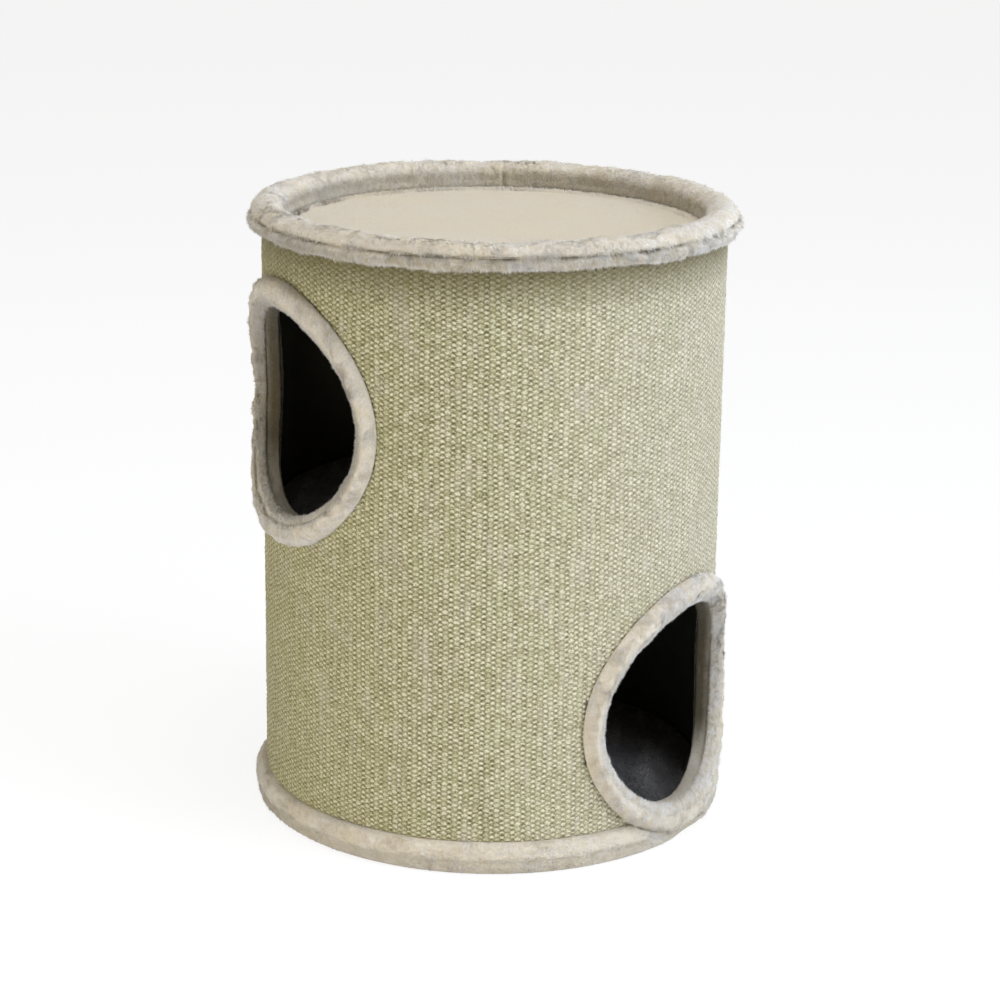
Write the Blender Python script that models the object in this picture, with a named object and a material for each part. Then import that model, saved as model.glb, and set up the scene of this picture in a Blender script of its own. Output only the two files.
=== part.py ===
"""Cylindrical cat scratcher with two dens, two entrances and a tray on top.

It is built as the real one is: a board tube with three decks inside, woven sisal matting round
it, padded plush edging along its rim, its base and both entrances, and a plush tray.
Metres, +Z up. The origin is on the tube's axis, on the floor that the scratcher stands on, and
-Y is the front, midway between the two entrances.
"""

import math

import bmesh
import bpy
from mathutils import Matrix, Vector

# Room between pieces
FIT = 0.0003  # between faces that follow each other
FOOT_GAP = 0.0006  # under a piece whose facets cross those of the round wall

# Tube, lining and sisal matting
TOTAL_HEIGHT = 0.500  # floor to the crest of the rim
TUBE_OUTER_R = 0.1825
TUBE_WALL = 0.0050
LINING_THICK = 0.0012
SISAL_THICK = 0.0037
SISAL_SEAM_GAP = 0.0010  # the butt seam at the back
SISAL_SETBACK = 0.0035  # how far the matting is trimmed back from a cut edge of the tube

# Decks, with their plush
BOTTOM_BOARD_THICK = 0.0155
MIDDLE_BOARD_THICK = 0.0120
TOP_BOARD_THICK = 0.0120
FLOOR_PLUSH_THICK = 0.0037
UPPER_FLOOR_HEIGHT = 0.2480  # top of the upper den's plush
TRAY_DEPTH = 0.0235  # rim's crest down to the edge of the tray's plush
TRAY_PLUSH_THICK = 0.0032
TRAY_FOAM_THICK = 0.0060
TRAY_CROWN = 0.0014  # swell of the tray's middle over its edge
TRAY_CROWN_POINTS = 5

# Plush covers
PLUSH_THICK = 0.0027

# Rim
RIM_OVERHANG = 0.0085  # how far the rim stands out from the sisal
RIM_WIDTH = 0.0270
RIM_DROP = 0.0197  # rim's crest down to its lower outer edge
RIM_CROWN = 0.0105  # height of the rounded top, down to the seam
RIM_CORNER = 0.0038
RIM_SEAM_DEPTH = 0.0012
RIM_SEAM_HALF = 0.0011
RIM_SEAM_ANGLE = 12  # degrees of the rounded top that the seam draws in
TUBE_TOP_DROP = 0.0100  # rim's crest down to the tube's top edge

# Base edging
BASE_HEIGHT = 0.0245
BASE_OVERHANG = 0.0082
BASE_SHOULDER_R = 0.0070
BASE_SHOULDER_DROP = 0.0080
BASE_TOE_R = 0.0050
BASE_TOE_RISE = 0.0095
HEM_WIDTH = 0.0300  # plush turned in under the tube, from the sisal's face inwards

# Entrances
ENTRANCE_CLEAR_R = 0.0840
ENTRANCE_TURN = math.radians(60)  # each side of the front
LOWER_SILL = 0.0008  # lower floor up to the reveal
UPPER_SILL = 0.0120  # upper floor up to the opening
REVEAL_THICK = 0.0032
REVEAL_LIP = 0.0040  # how far the reveal stands out from the sisal
REVEAL_INSIDE = 0.0030  # thickness of the plush turned on to the lining
REVEAL_TURN_IN = 0.0080  # width of the plush turned on to the lining
ROLL_WIDTH = 0.0185
ROLL_HEIGHT = 0.0093

# Screws that hold the decks
SCREW_LENGTH = 0.0250
SCREW_SHANK_R = 0.0017
SCREW_HEAD_R = 0.0036
SCREW_HEAD_DEPTH = 0.0022
SCREW_POINT = 0.0050
SCREW_SINK = 0.0006  # head's face below the tube's outer face
SCREWS_PER_BOARD = 4
SCREW_TURN = math.radians(15)  # the first screw, from the front

# Facets
TURNED_STEPS = 48
RING_STEPS = 36
RING_PHASE = 0.5  # of a step, so that no ring's corner lies over a corner of the wall
SCREW_STEPS = 8
MERGE = 0.00001

# Radii that follow
TUBE_INNER_R = TUBE_OUTER_R - TUBE_WALL
INSIDE_R = TUBE_INNER_R - FIT
LINING_INNER_R = INSIDE_R - LINING_THICK
OUTSIDE_R = TUBE_OUTER_R + FIT
SISAL_OUTER_R = OUTSIDE_R + SISAL_THICK
RIM_OUTER_R = SISAL_OUTER_R + RIM_OVERHANG
RIM_INNER_R = RIM_OUTER_R - RIM_WIDTH
BASE_OUTER_R = SISAL_OUTER_R + BASE_OVERHANG
HEM_INNER_R = SISAL_OUTER_R - HEM_WIDTH
LINING_FLAT_R = LINING_INNER_R * math.cos(math.pi / TURNED_STEPS)
REVEAL_BACK_R = LINING_FLAT_R - FIT
REVEAL_FACE_R = REVEAL_BACK_R - REVEAL_INSIDE

# Entrance radii that follow, measured from the middle of the opening
REVEAL_OUTER_R = ENTRANCE_CLEAR_R + REVEAL_THICK
TUBE_CUT_R = REVEAL_OUTER_R + FIT
SISAL_CUT_R = TUBE_CUT_R + SISAL_SETBACK
ROLL_OUTER_R = TUBE_CUT_R + ROLL_WIDTH
ROLL_FOOT = SISAL_OUTER_R + FOOT_GAP

# Heights that follow
TUBE_BOTTOM = PLUSH_THICK + FIT
TUBE_TOP = TOTAL_HEIGHT - TUBE_TOP_DROP
LOWER_DECK_TOP = TUBE_BOTTOM + BOTTOM_BOARD_THICK
LOWER_FLOOR_TOP = LOWER_DECK_TOP + FIT + FLOOR_PLUSH_THICK
UPPER_DECK_TOP = UPPER_FLOOR_HEIGHT - FLOOR_PLUSH_THICK - FIT
UPPER_DECK_BOTTOM = UPPER_DECK_TOP - MIDDLE_BOARD_THICK
TRAY_EDGE = TOTAL_HEIGHT - TRAY_DEPTH
TRAY_PLUSH_BOTTOM = TRAY_EDGE - TRAY_PLUSH_THICK
TRAY_FOAM_BOTTOM = TRAY_PLUSH_BOTTOM - FIT - TRAY_FOAM_THICK
TOP_DECK_TOP = TRAY_FOAM_BOTTOM - FIT
TOP_DECK_BOTTOM = TOP_DECK_TOP - TOP_BOARD_THICK
RIM_BOTTOM = TOTAL_HEIGHT - RIM_DROP
RIM_INSIDE_BOTTOM = TRAY_EDGE + FIT
SISAL_TOP = RIM_BOTTOM - FIT
SISAL_BOTTOM = BASE_HEIGHT + FIT
LOWER_ENTRANCE_Z = LOWER_FLOOR_TOP + LOWER_SILL + REVEAL_OUTER_R
UPPER_ENTRANCE_Z = UPPER_FLOOR_HEIGHT + UPPER_SILL + ENTRANCE_CLEAR_R

# How far cutters reach past what they cut
REACH = 0.05


def finish(name, red, green, blue, roughness, metallic=0.0):
    """A plain finish in the colour that red, green and blue give on a screen, 0 to 255."""
    material = bpy.data.materials.new(name)
    material.use_nodes = True
    shader = material.node_tree.nodes["Principled BSDF"]
    linear = [(value / 255) ** 2.2 for value in (red, green, blue)]
    shader.inputs["Base Color"].default_value = (*linear, 1)
    shader.inputs["Roughness"].default_value = roughness
    shader.inputs["Metallic"].default_value = metallic
    return material


def add_object(name, mesh, material, place=Matrix()):
    """Links a mesh as a named object with smooth round faces and sharp edges."""
    mesh.materials.clear()
    mesh.materials.append(material)
    mesh.shade_smooth()
    mesh.set_sharp_from_angle(angle=math.radians(35))
    piece = bpy.data.objects.new(name, mesh)
    piece.matrix_world = place
    bpy.context.scene.collection.objects.link(piece)
    return piece


def add_cutter(name, mesh):
    """Links a mesh as a hidden wire cutter."""
    cutter = bpy.data.objects.new(name, mesh)
    cutter.display_type = "WIRE"
    cutter.hide_render = True
    bpy.context.scene.collection.objects.link(cutter)
    return cutter


def cut(piece, *cutters):
    """Takes each cutter's shape out of a piece."""
    for cutter in cutters:
        modifier = piece.modifiers.new(cutter.name, "BOOLEAN")
        modifier.operation = "DIFFERENCE"
        modifier.solver = "EXACT"
        modifier.object = cutter


def closed_mesh(name, shape):
    """Merges a shape's meeting points, turns its faces outwards and makes it a mesh."""
    bmesh.ops.remove_doubles(shape, verts=shape.verts[:], dist=MERGE)
    bmesh.ops.recalc_face_normals(shape, faces=shape.faces[:])
    mesh = bpy.data.meshes.new(name)
    shape.to_mesh(mesh)
    shape.free()
    return mesh


def spin(shape, outline, steps, place=Matrix()):
    """Turns an outline of (radius, height) points once round Z, then puts it in place.

    An outline that starts and ends on the axis is left open there, and any other is closed.
    """
    before = set(shape.verts)
    line = [shape.verts.new((radius, 0, height)) for radius, height in outline]
    ends = line[1:] if outline[0][0] == 0 else line[1:] + line[:1]
    edges = [shape.edges.new(pair) for pair in zip(line, ends)]
    bmesh.ops.spin(
        shape, geom=line + edges, cent=(0, 0, 0), axis=(0, 0, 1), angle=2 * math.pi, steps=steps
    )
    bmesh.ops.transform(shape, matrix=place, verts=[v for v in shape.verts if v not in before])


def turned_mesh(name, outline, steps=TURNED_STEPS):
    """A closed mesh turned from one outline."""
    shape = bmesh.new()
    spin(shape, outline, steps)
    return closed_mesh(name, shape)


def disc(radius, bottom, top):
    """The outline of a flat disc."""
    return [(0, bottom), (radius, bottom), (radius, top), (0, top)]


def sleeve(inner, outer, bottom, top):
    """The outline of a plain sleeve."""
    return [(inner, bottom), (outer, bottom), (outer, top), (inner, top)]


def arc(centre, radii, start, end, points):
    """Points along an ellipse's arc, both ends included. Angles are in degrees."""
    turns = (math.radians(start + (end - start) * n / (points - 1)) for n in range(points))
    return [
        (centre[0] + radii[0] * math.cos(turn), centre[1] + radii[1] * math.sin(turn))
        for turn in turns
    ]


def rim_line(inset, corner_points, side_points):
    """The rim's section from its outer lip over the crest to its inner lip, moved in by inset."""
    outer, inner = RIM_OUTER_R - inset, RIM_INNER_R + inset
    low, low_inside = RIM_BOTTOM + inset, RIM_INSIDE_BOTTOM + inset
    corner = RIM_CORNER - inset
    middle, springing = (outer + inner) / 2, TOTAL_HEIGHT - RIM_CROWN
    half, crown = (outer - inner) / 2, RIM_CROWN - inset
    return [
        (OUTSIDE_R, low),
        *arc((outer - corner, low + corner), (corner, corner), -90, 0, corner_points),
        *arc((middle, springing), (half, crown), RIM_SEAM_ANGLE, 90, side_points),
        *arc((middle, springing), (half, crown), 90, 180, side_points)[1:],
        *arc((inner + corner, low_inside + corner), (corner, corner), 180, 270, corner_points),
        (INSIDE_R, low_inside),
    ]


def rim_cover_outline():
    """The plush over the rim: an upturned channel with a seam along its outer side."""
    face = rim_line(0, 3, 5)
    seam = TOTAL_HEIGHT - RIM_CROWN
    groove = [
        (RIM_OUTER_R, seam - RIM_SEAM_HALF),
        (RIM_OUTER_R - RIM_SEAM_DEPTH, seam),
    ]
    return face[:4] + groove + face[4:] + rim_line(PLUSH_THICK, 2, 3)[::-1]


def rim_foam_outline():
    """The foam under the rim's plush, slotted to sit astride the tube's top edge."""
    return rim_line(PLUSH_THICK + FIT, 2, 3) + [
        (INSIDE_R, TUBE_TOP + FIT),
        (OUTSIDE_R, TUBE_TOP + FIT),
    ]


def base_line(inset, inner_end):
    """The base edging's section from its top lip round its toe to its hem, moved in by inset."""
    outer, top = BASE_OUTER_R - inset, BASE_HEIGHT - inset
    shoulder = (BASE_SHOULDER_R - inset, BASE_SHOULDER_DROP - inset)
    toe = (BASE_TOE_R - inset, BASE_TOE_RISE - inset)
    return [
        (OUTSIDE_R, top),
        *arc((outer - shoulder[0], top - shoulder[1]), shoulder, 90, 0, 4),
        *arc((outer - toe[0], inset + toe[1]), toe, 0, -90, 4),
        (inner_end, inset),
    ]


def base_cover_outline():
    """The plush round the base: an open channel whose lower side goes on as a hem."""
    return base_line(0, HEM_INNER_R) + base_line(PLUSH_THICK, HEM_INNER_R)[::-1]


def base_foam_outline():
    """The foam strip under the base's plush, beside the tube."""
    return base_line(PLUSH_THICK + FIT, OUTSIDE_R)


def tray_plush_outline():
    """The tray's plush, whose upper face swells a little towards the middle."""
    return [
        (0, TRAY_PLUSH_BOTTOM),
        (INSIDE_R, TRAY_PLUSH_BOTTOM),
        (INSIDE_R, TRAY_EDGE),
        *arc((0, TRAY_EDGE), (RIM_INNER_R - RIM_CORNER, TRAY_CROWN), 0, 90, TRAY_CROWN_POINTS),
    ]


def entrance_point(turn, height, angle, bore, drum_r):
    """A point of an entrance: bore from its middle, angle round it, drum_r from the tube's axis.

    The wall's cut edge is square to the wall, so the sides of the opening spread as the drum
    radius grows. The roll's outer edge stays round, and what lies between shares the spread out.
    The distance out of the tube follows from Pythagoras.
    """
    share = min(max((ROLL_OUTER_R - bore) / ROLL_WIDTH, 0), 1)
    side = bore * math.cos(angle) * (1 + share * (drum_r / REVEAL_FACE_R - 1))
    out = math.sqrt(drum_r**2 - side**2)
    return Vector(
        (
            out * math.sin(turn) + side * math.cos(turn),
            -out * math.cos(turn) + side * math.sin(turn),
            height + bore * math.sin(angle),
        )
    )


def saddle_strips(shape, turn, height, outline, strips):
    """Carries an outline of (bore, drum radius) round an entrance, as this many strips of faces.

    Returns the corners, one list for each step round the opening.
    """
    loops = []
    for step in range(RING_STEPS):
        angle = 2 * math.pi * (step + RING_PHASE) / RING_STEPS
        corners = [entrance_point(turn, height, angle, bore, drum_r) for bore, drum_r in outline]
        loops.append([shape.verts.new(corner) for corner in corners])
    for here, after in zip(loops, loops[1:] + loops[:1]):
        for n in range(strips):
            m = (n + 1) % len(here)
            shape.faces.new((here[n], here[m], after[m], after[n]))
    return loops


def saddle_ring(name, turn, height, outline):
    """A closed mesh of an outline carried round an entrance."""
    shape = bmesh.new()
    saddle_strips(shape, turn, height, outline, len(outline))
    return closed_mesh(name, shape)


def bore_cutter(name, turn, height, bore):
    """A bar through the wall at an entrance, with the same facets as its rings."""
    near, far = (ROLL_OUTER_R + LINING_FLAT_R) / 2, BASE_OUTER_R + REACH
    radii = (near, REVEAL_BACK_R, TUBE_OUTER_R, ROLL_FOOT, far)
    shape = bmesh.new()
    outline = [(bore, drum_r) for drum_r in radii]
    loops = saddle_strips(shape, turn, height, outline, len(outline) - 1)
    for end, drum_r in ((0, near), (-1, far)):
        middle = shape.verts.new(entrance_point(turn, height, 0, 0, drum_r))
        for here, after in zip(loops, loops[1:] + loops[:1]):
            shape.faces.new((middle, here[end], after[end]))
    return add_cutter(name, closed_mesh(name, shape))


def roll_outline():
    """The plush over an entrance's padded roll: half a tube, open towards the sisal."""
    middle = (TUBE_CUT_R + ROLL_WIDTH / 2, ROLL_FOOT)
    face = (ROLL_WIDTH / 2, ROLL_HEIGHT)
    back = (ROLL_WIDTH / 2 - PLUSH_THICK, ROLL_HEIGHT - PLUSH_THICK)
    return arc(middle, face, 0, 180, 8) + arc(middle, back, 180, 0, 6)


def roll_foam_outline():
    """The foam inside an entrance's roll, flat against the sisal."""
    middle = (TUBE_CUT_R + ROLL_WIDTH / 2, ROLL_FOOT)
    skin = PLUSH_THICK + FIT
    return arc(middle, (ROLL_WIDTH / 2 - skin, ROLL_HEIGHT - skin), 0, 180, 6)


def reveal_outline():
    """The plush through a cut edge: a rounded lip outside and a flat turn-in inside."""
    lip = SISAL_OUTER_R + REVEAL_LIP
    back, face = REVEAL_BACK_R, REVEAL_FACE_R
    half = REVEAL_THICK / 2
    end = REVEAL_OUTER_R + REVEAL_TURN_IN
    return [
        (REVEAL_OUTER_R, back),
        (REVEAL_OUTER_R, TUBE_OUTER_R),
        *arc((ENTRANCE_CLEAR_R + half, lip - REVEAL_THICK), (half, REVEAL_THICK), 0, 180, 5),
        (ENTRANCE_CLEAR_R - REVEAL_THICK * 0.12, (lip + face) / 2),
        (ENTRANCE_CLEAR_R, face + half),
        (ENTRANCE_CLEAR_R + half, face),
        (end, face),
        (end, back),
    ]


def screw_outline(room):
    """A countersunk screw along -Z from its head's face, with room left round it."""
    head, shank = SCREW_HEAD_R + room, SCREW_SHANK_R + room
    return [
        (0, room * 2),
        (head, room * 2),
        (head, -room),
        (shank, -SCREW_HEAD_DEPTH - room),
        (shank, SCREW_POINT - SCREW_LENGTH),
        (0, -SCREW_LENGTH - room),
    ]


def screw_hole_outline():
    """The hole for a screw, which runs on outwards past the tube's face."""
    outline = screw_outline(FIT)
    mouth = SCREW_SINK + SCREW_HEAD_R
    return [(0, mouth), (outline[1][0], mouth), *outline[2:]]


def screw_places(height):
    """Where a deck's screws stand: evenly round the tube, each pointing at its axis."""
    places = []
    for number in range(SCREWS_PER_BOARD):
        turn = SCREW_TURN + 2 * math.pi * number / SCREWS_PER_BOARD
        outward = Vector((math.sin(turn), -math.cos(turn), 0))
        head = outward * (TUBE_OUTER_R - SCREW_SINK) + Vector((0, 0, height))
        turned = outward.to_track_quat("Z", "Y").to_matrix().to_4x4()
        places.append(Matrix.Translation(head) @ turned)
    return places


def add_deck(name, bottom, top, material, steel):
    """A round board with its screws. Returns the cutter that makes room for the screws."""
    board = add_object(name, turned_mesh(name, disc(INSIDE_R, bottom, top)), material)
    screw = turned_mesh("deck_screw", screw_outline(0), SCREW_STEPS)
    holes = bmesh.new()
    for number, place in enumerate(screw_places((bottom + top) / 2), 1):
        add_object(f"{name}_screw_{number}", screw, steel, place)
        spin(holes, screw_hole_outline(), SCREW_STEPS, place)
    cutter = add_cutter(f"{name}_screw_holes", closed_mesh(f"{name}_screw_holes", holes))
    cut(board, cutter)
    return cutter


def add_entrance(name, turn, height, plush, foam):
    """One entrance's reveal, foam and roll."""
    reveal = saddle_ring(f"{name}_reveal", turn, height, reveal_outline())
    stuffing = saddle_ring(f"{name}_foam", turn, height, roll_foam_outline())
    roll = saddle_ring(f"{name}_roll", turn, height, roll_outline())
    add_object(f"{name}_foam", stuffing, foam)
    add_object(f"{name}_roll", roll, plush)
    return add_object(f"{name}_reveal", reveal, plush)


def add_sleeve(name, inner, outer, bottom, top, material):
    """A plain sleeve round the axis."""
    return add_object(name, turned_mesh(name, sleeve(inner, outer, bottom, top)), material)


def add_disc(name, radius, bottom, top, material):
    """A plain disc on the axis."""
    return add_object(name, turned_mesh(name, disc(radius, bottom, top)), material)


def seam_cutter():
    """A thin upright slot at the back, where the ends of the matting meet."""
    half, near, far = SISAL_SEAM_GAP / 2, TUBE_INNER_R, SISAL_OUTER_R + REACH
    shape = bmesh.new()
    bmesh.ops.create_cube(shape, size=1)
    size = Vector((2 * half, far - near, TOTAL_HEIGHT + REACH))
    bmesh.ops.scale(shape, vec=size, verts=shape.verts[:])
    middle = Vector((0, (near + far) / 2, TOTAL_HEIGHT / 2))
    bmesh.ops.translate(shape, vec=middle, verts=shape.verts[:])
    return add_cutter("sisal_seam_slot", closed_mesh("sisal_seam_slot", shape))


def main():
    """Builds the scratcher."""
    for piece in list(bpy.data.objects):
        bpy.data.objects.remove(piece, do_unlink=True)

    board = finish("board", 176, 150, 116, 0.85)
    sisal = finish("sisal", 196, 188, 150, 0.9)
    plush = finish("cream_plush", 224, 216, 202, 0.95)
    dark = finish("dark_lining", 46, 45, 46, 0.95)
    grey = finish("grey_plush", 118, 114, 114, 0.95)
    foam = finish("foam", 232, 226, 190, 0.9)
    steel = finish("screw_steel", 170, 172, 176, 0.35, 1.0)

    # Tube, matting and linings
    tube = add_sleeve("drum_tube", TUBE_INNER_R, TUBE_OUTER_R, TUBE_BOTTOM, TUBE_TOP, board)
    mat = add_sleeve("sisal_mat", OUTSIDE_R, SISAL_OUTER_R, SISAL_BOTTOM, SISAL_TOP, sisal)
    lower_lining = add_sleeve(
        "lower_lining", LINING_INNER_R, INSIDE_R, LOWER_DECK_TOP + FIT, UPPER_DECK_BOTTOM - FIT, dark
    )
    upper_lining = add_sleeve(
        "upper_lining", LINING_INNER_R, INSIDE_R, UPPER_DECK_TOP + FIT, TOP_DECK_BOTTOM - FIT, dark
    )
    cut(mat, seam_cutter())

    # Decks, floors and tray
    for name, bottom, top in (
        ("bottom_board", TUBE_BOTTOM, LOWER_DECK_TOP),
        ("middle_board", UPPER_DECK_BOTTOM, UPPER_DECK_TOP),
        ("top_board", TOP_DECK_BOTTOM, TOP_DECK_TOP),
    ):
        cut(tube, add_deck(name, bottom, top, board, steel))
    floor_r = LINING_INNER_R - FIT
    add_disc("lower_floor_plush", floor_r, LOWER_DECK_TOP + FIT, LOWER_FLOOR_TOP, grey)
    add_disc("upper_floor_plush", floor_r, UPPER_DECK_TOP + FIT, UPPER_FLOOR_HEIGHT, grey)
    add_disc("tray_foam", INSIDE_R, TRAY_FOAM_BOTTOM, TRAY_PLUSH_BOTTOM - FIT, foam)
    add_object("tray_plush", turned_mesh("tray_plush", tray_plush_outline()), plush)

    # Rim and base edging
    add_object("rim_foam", turned_mesh("rim_foam", rim_foam_outline()), foam)
    add_object("rim_cover", turned_mesh("rim_cover", rim_cover_outline()), plush)
    base_foam = add_object("base_foam", turned_mesh("base_foam", base_foam_outline()), foam)
    base_cover = add_object("base_cover", turned_mesh("base_cover", base_cover_outline()), plush)

    # Entrances: the upper one to the left of the front, the lower one to the right
    for name, turn, height, lining in (
        ("upper_entrance", -ENTRANCE_TURN, UPPER_ENTRANCE_Z, upper_lining),
        ("lower_entrance", ENTRANCE_TURN, LOWER_ENTRANCE_Z, lower_lining),
    ):
        reveal = add_entrance(name, turn, height, plush, foam)
        opening = bore_cutter(f"{name}_opening", turn, height, TUBE_CUT_R)
        cut(tube, opening)
        cut(lining, opening)
        cut(mat, bore_cutter(f"{name}_matting_cut", turn, height, SISAL_CUT_R))

    # The lower entrance's roll dips into the base edging, and its turn-in ends at the floor
    dip = bore_cutter("roll_dip", ENTRANCE_TURN, LOWER_ENTRANCE_Z, ROLL_OUTER_R + FOOT_GAP)
    cut(base_foam, dip)
    cut(base_cover, dip)
    floor_end = turned_mesh("floor_end", disc(INSIDE_R, -REACH, LOWER_FLOOR_TOP + FIT))
    cut(reveal, add_cutter("floor_end", floor_end))


main()
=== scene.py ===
"""A cylindrical cat scratcher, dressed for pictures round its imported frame.

Lengths are in metres, +Z is up and -Y is the front. Every sub-assembly is a class with its sizes
as fields and methods that work its surfaces out and dress them. Turned pieces and entrance rings
are sections carried round, so each is one array of points in two parameters.
"""

import logging
import math
from collections.abc import Callable
from dataclasses import dataclass, field, replace
from enum import Enum

import bpy
import numpy as np
from mathutils import Matrix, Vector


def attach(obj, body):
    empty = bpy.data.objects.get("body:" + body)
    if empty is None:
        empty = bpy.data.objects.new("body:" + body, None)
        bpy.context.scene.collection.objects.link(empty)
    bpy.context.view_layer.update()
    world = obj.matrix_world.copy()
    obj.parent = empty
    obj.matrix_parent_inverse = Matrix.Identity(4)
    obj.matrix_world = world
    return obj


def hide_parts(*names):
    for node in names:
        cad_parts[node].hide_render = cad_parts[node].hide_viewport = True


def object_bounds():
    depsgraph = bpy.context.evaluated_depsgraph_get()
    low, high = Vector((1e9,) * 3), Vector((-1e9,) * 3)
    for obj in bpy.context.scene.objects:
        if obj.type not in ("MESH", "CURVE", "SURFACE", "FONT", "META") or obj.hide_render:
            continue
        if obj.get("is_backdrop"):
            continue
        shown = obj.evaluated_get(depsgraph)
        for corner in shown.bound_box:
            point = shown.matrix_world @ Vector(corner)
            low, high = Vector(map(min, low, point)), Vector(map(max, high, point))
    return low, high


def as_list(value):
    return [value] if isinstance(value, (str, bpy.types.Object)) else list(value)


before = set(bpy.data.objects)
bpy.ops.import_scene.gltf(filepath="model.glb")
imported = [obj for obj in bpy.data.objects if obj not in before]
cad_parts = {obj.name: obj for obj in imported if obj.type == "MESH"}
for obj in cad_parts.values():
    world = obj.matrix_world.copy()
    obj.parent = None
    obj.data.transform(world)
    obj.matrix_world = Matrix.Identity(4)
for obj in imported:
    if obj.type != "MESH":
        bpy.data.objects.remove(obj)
CAD_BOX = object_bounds()
LOG = logging.getLogger("scratcher")
Array = np.ndarray
Colour = tuple[float, float, float]
Material = bpy.types.Material
Socket = bpy.types.NodeSocket

# Where the covers stand, as in the frame
DRUM_R = 0.1865
TUBE_FACE = 0.1828
INSIDE_R = 0.1772
CREST = 0.500
RIM_BOTTOM = 0.4803
RIM_INSIDE_BOTTOM = 0.4768
SEAM_HEIGHT = 0.4895
BASE_TOP = 0.0245
LOWER_FLOOR_TOP = 0.0225
ROLL_FOOT = 0.1871
ROLL_OUTER = 0.1060
ROLL_WIDTH = 0.0185
STRIP_FACE = 0.1723

CORNER_SIGNS = ((-1, -1), (1, -1), (1, 1), (-1, 1))


class Side(Enum):
    """The two entrances: how far each is turned from the front, and the height of its middle."""

    UPPER = (-60.0, 0.3440)
    LOWER = (60.0, 0.1105)

    @property
    def turn(self) -> float:
        """The turn from the front, in radians, positive towards +X."""
        return math.radians(self.value[0])

    @property
    def height(self) -> float:
        """The height of the entrance's middle."""
        return self.value[1]

    def local(self, points: Array) -> tuple[Array, Array]:
        """Finds how far points lie to the side of the entrance's middle, and how far out."""
        x, y = points[..., 0], points[..., 1]
        sine, cosine = math.sin(self.turn), math.cos(self.turn)
        return x * cosine + y * sine, x * sine - y * cosine


def lattice_noise(points: Array, cell: float, seed: int) -> Array:
    """Smooth random values at points in space.

    Each corner of a cubic lattice has a random value, and a point takes the mix of its eight
    corners, weighted along x, y and z by 3t^2 - 2t^3.

    Args:
        points: Places, with x, y and z in the last axis.
        cell: Side of a lattice cube.
        seed: A whole number that picks the pattern.

    Returns:
        Values from -1 to 1, one for each point.
    """
    scaled = points / cell
    low = np.floor(scaled).astype(np.int64)
    part = scaled - low
    part = part * part * (3 - 2 * part)
    total = np.zeros(points.shape[:-1])
    for corner in np.ndindex(2, 2, 2):
        at = low + np.array(corner)
        key = at[..., 0] * 73856093 ^ at[..., 1] * 19349663 ^ at[..., 2] * 83492791
        key = (key ^ (seed * 40503001)) & 0xFFFFFFFF
        key = ((key ^ (key >> 15)) * 0x2C1B3C6D) & 0xFFFFFFFF
        key = ((key ^ (key >> 12)) * 0x297A2D39) & 0xFFFFFFFF
        value = ((key ^ (key >> 15)) & 0xFFFFFFFF) / 0x7FFFFFFF - 1
        weight = np.prod(np.where(np.array(corner) == 1, part, 1 - part), axis=-1)
        total += value * weight
    return total


def vector_noise(points: Array, cell: float, seed: int) -> Array:
    """Smooth random vectors: lattice noise three times over, each with its own seed.

    Args:
        points: Places, with x, y and z in the last axis.
        cell: Side of a lattice cube.
        seed: A whole number that picks the pattern.

    Returns:
        Vectors with parts from -1 to 1.
    """
    return np.stack([lattice_noise(points, cell, seed + 11 * n) for n in range(3)], axis=-1)


def ease(low: float, high: float, value: Array) -> Array:
    """A soft step from 0 at low to 1 at high: 3t^2 - 2t^3."""
    part = np.clip((value - low) / (high - low), 0, 1)
    return part * part * (3 - 2 * part)


def bell(off: Array, width: float) -> Array:
    """A soft hump, 1 where off is 0: e^-(off / width)^2."""
    return np.exp(-((off / width) ** 2))


def from_axis(points: Array) -> Array:
    """The distance of points from the drum's axis."""
    return np.hypot(points[..., 0], points[..., 1])


def revolve(flat: Array, step: float) -> Array:
    """Turns points of (radius, height) round the axis: (r cos a, r sin a, z) at even angles a.

    Args:
        flat: The points of a section or a line.
        step: Spacing round the widest place.

    Returns:
        The points, by angle and then along the line.
    """
    count = 8 * round(2 * math.pi * flat[:, 0].max() / step / 8)
    angle = 2 * math.pi * np.arange(count)[:, None] / count
    radius, height = flat[None, :, 0], flat[None, :, 1] + 0 * angle
    return np.stack([radius * np.cos(angle), radius * np.sin(angle), height], axis=-1)


def arc(middle: tuple[float, float], radii: tuple[float, float], start: float, end: float) -> Array:
    """Points along an ellipse's arc: middle + radii x (cos t, sin t).

    Args:
        middle: The ellipse's middle.
        radii: Its two half axes.
        start: First angle in degrees.
        end: Last angle in degrees.

    Returns:
        An array of points, one to about every 6 degrees.
    """
    count = max(3, int(abs(end - start) / 6) + 1)
    turn = np.radians(np.linspace(start, end, count))
    return np.array(middle) + np.array(radii) * np.stack([np.cos(turn), np.sin(turn)], axis=-1)


def splay(bore: Array | float, drum: Array | float) -> Array:
    """How far the sides of an opening spread, because its edge is cut square to the round wall.

    It is 1 + share x (drum / STRIP_FACE - 1), where share runs from 1 at the cut edge to 0 at the
    roll's outer edge, which stays round.
    """
    share = np.clip((ROLL_OUTER - bore) / ROLL_WIDTH, 0, 1)
    return 1 + share * (drum / STRIP_FACE - 1)


def line(*parts: Array | tuple[float, float]) -> Array:
    """Joins points and arcs into one line."""
    return np.concatenate([np.atleast_2d(np.array(part, float)) for part in parts])


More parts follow.
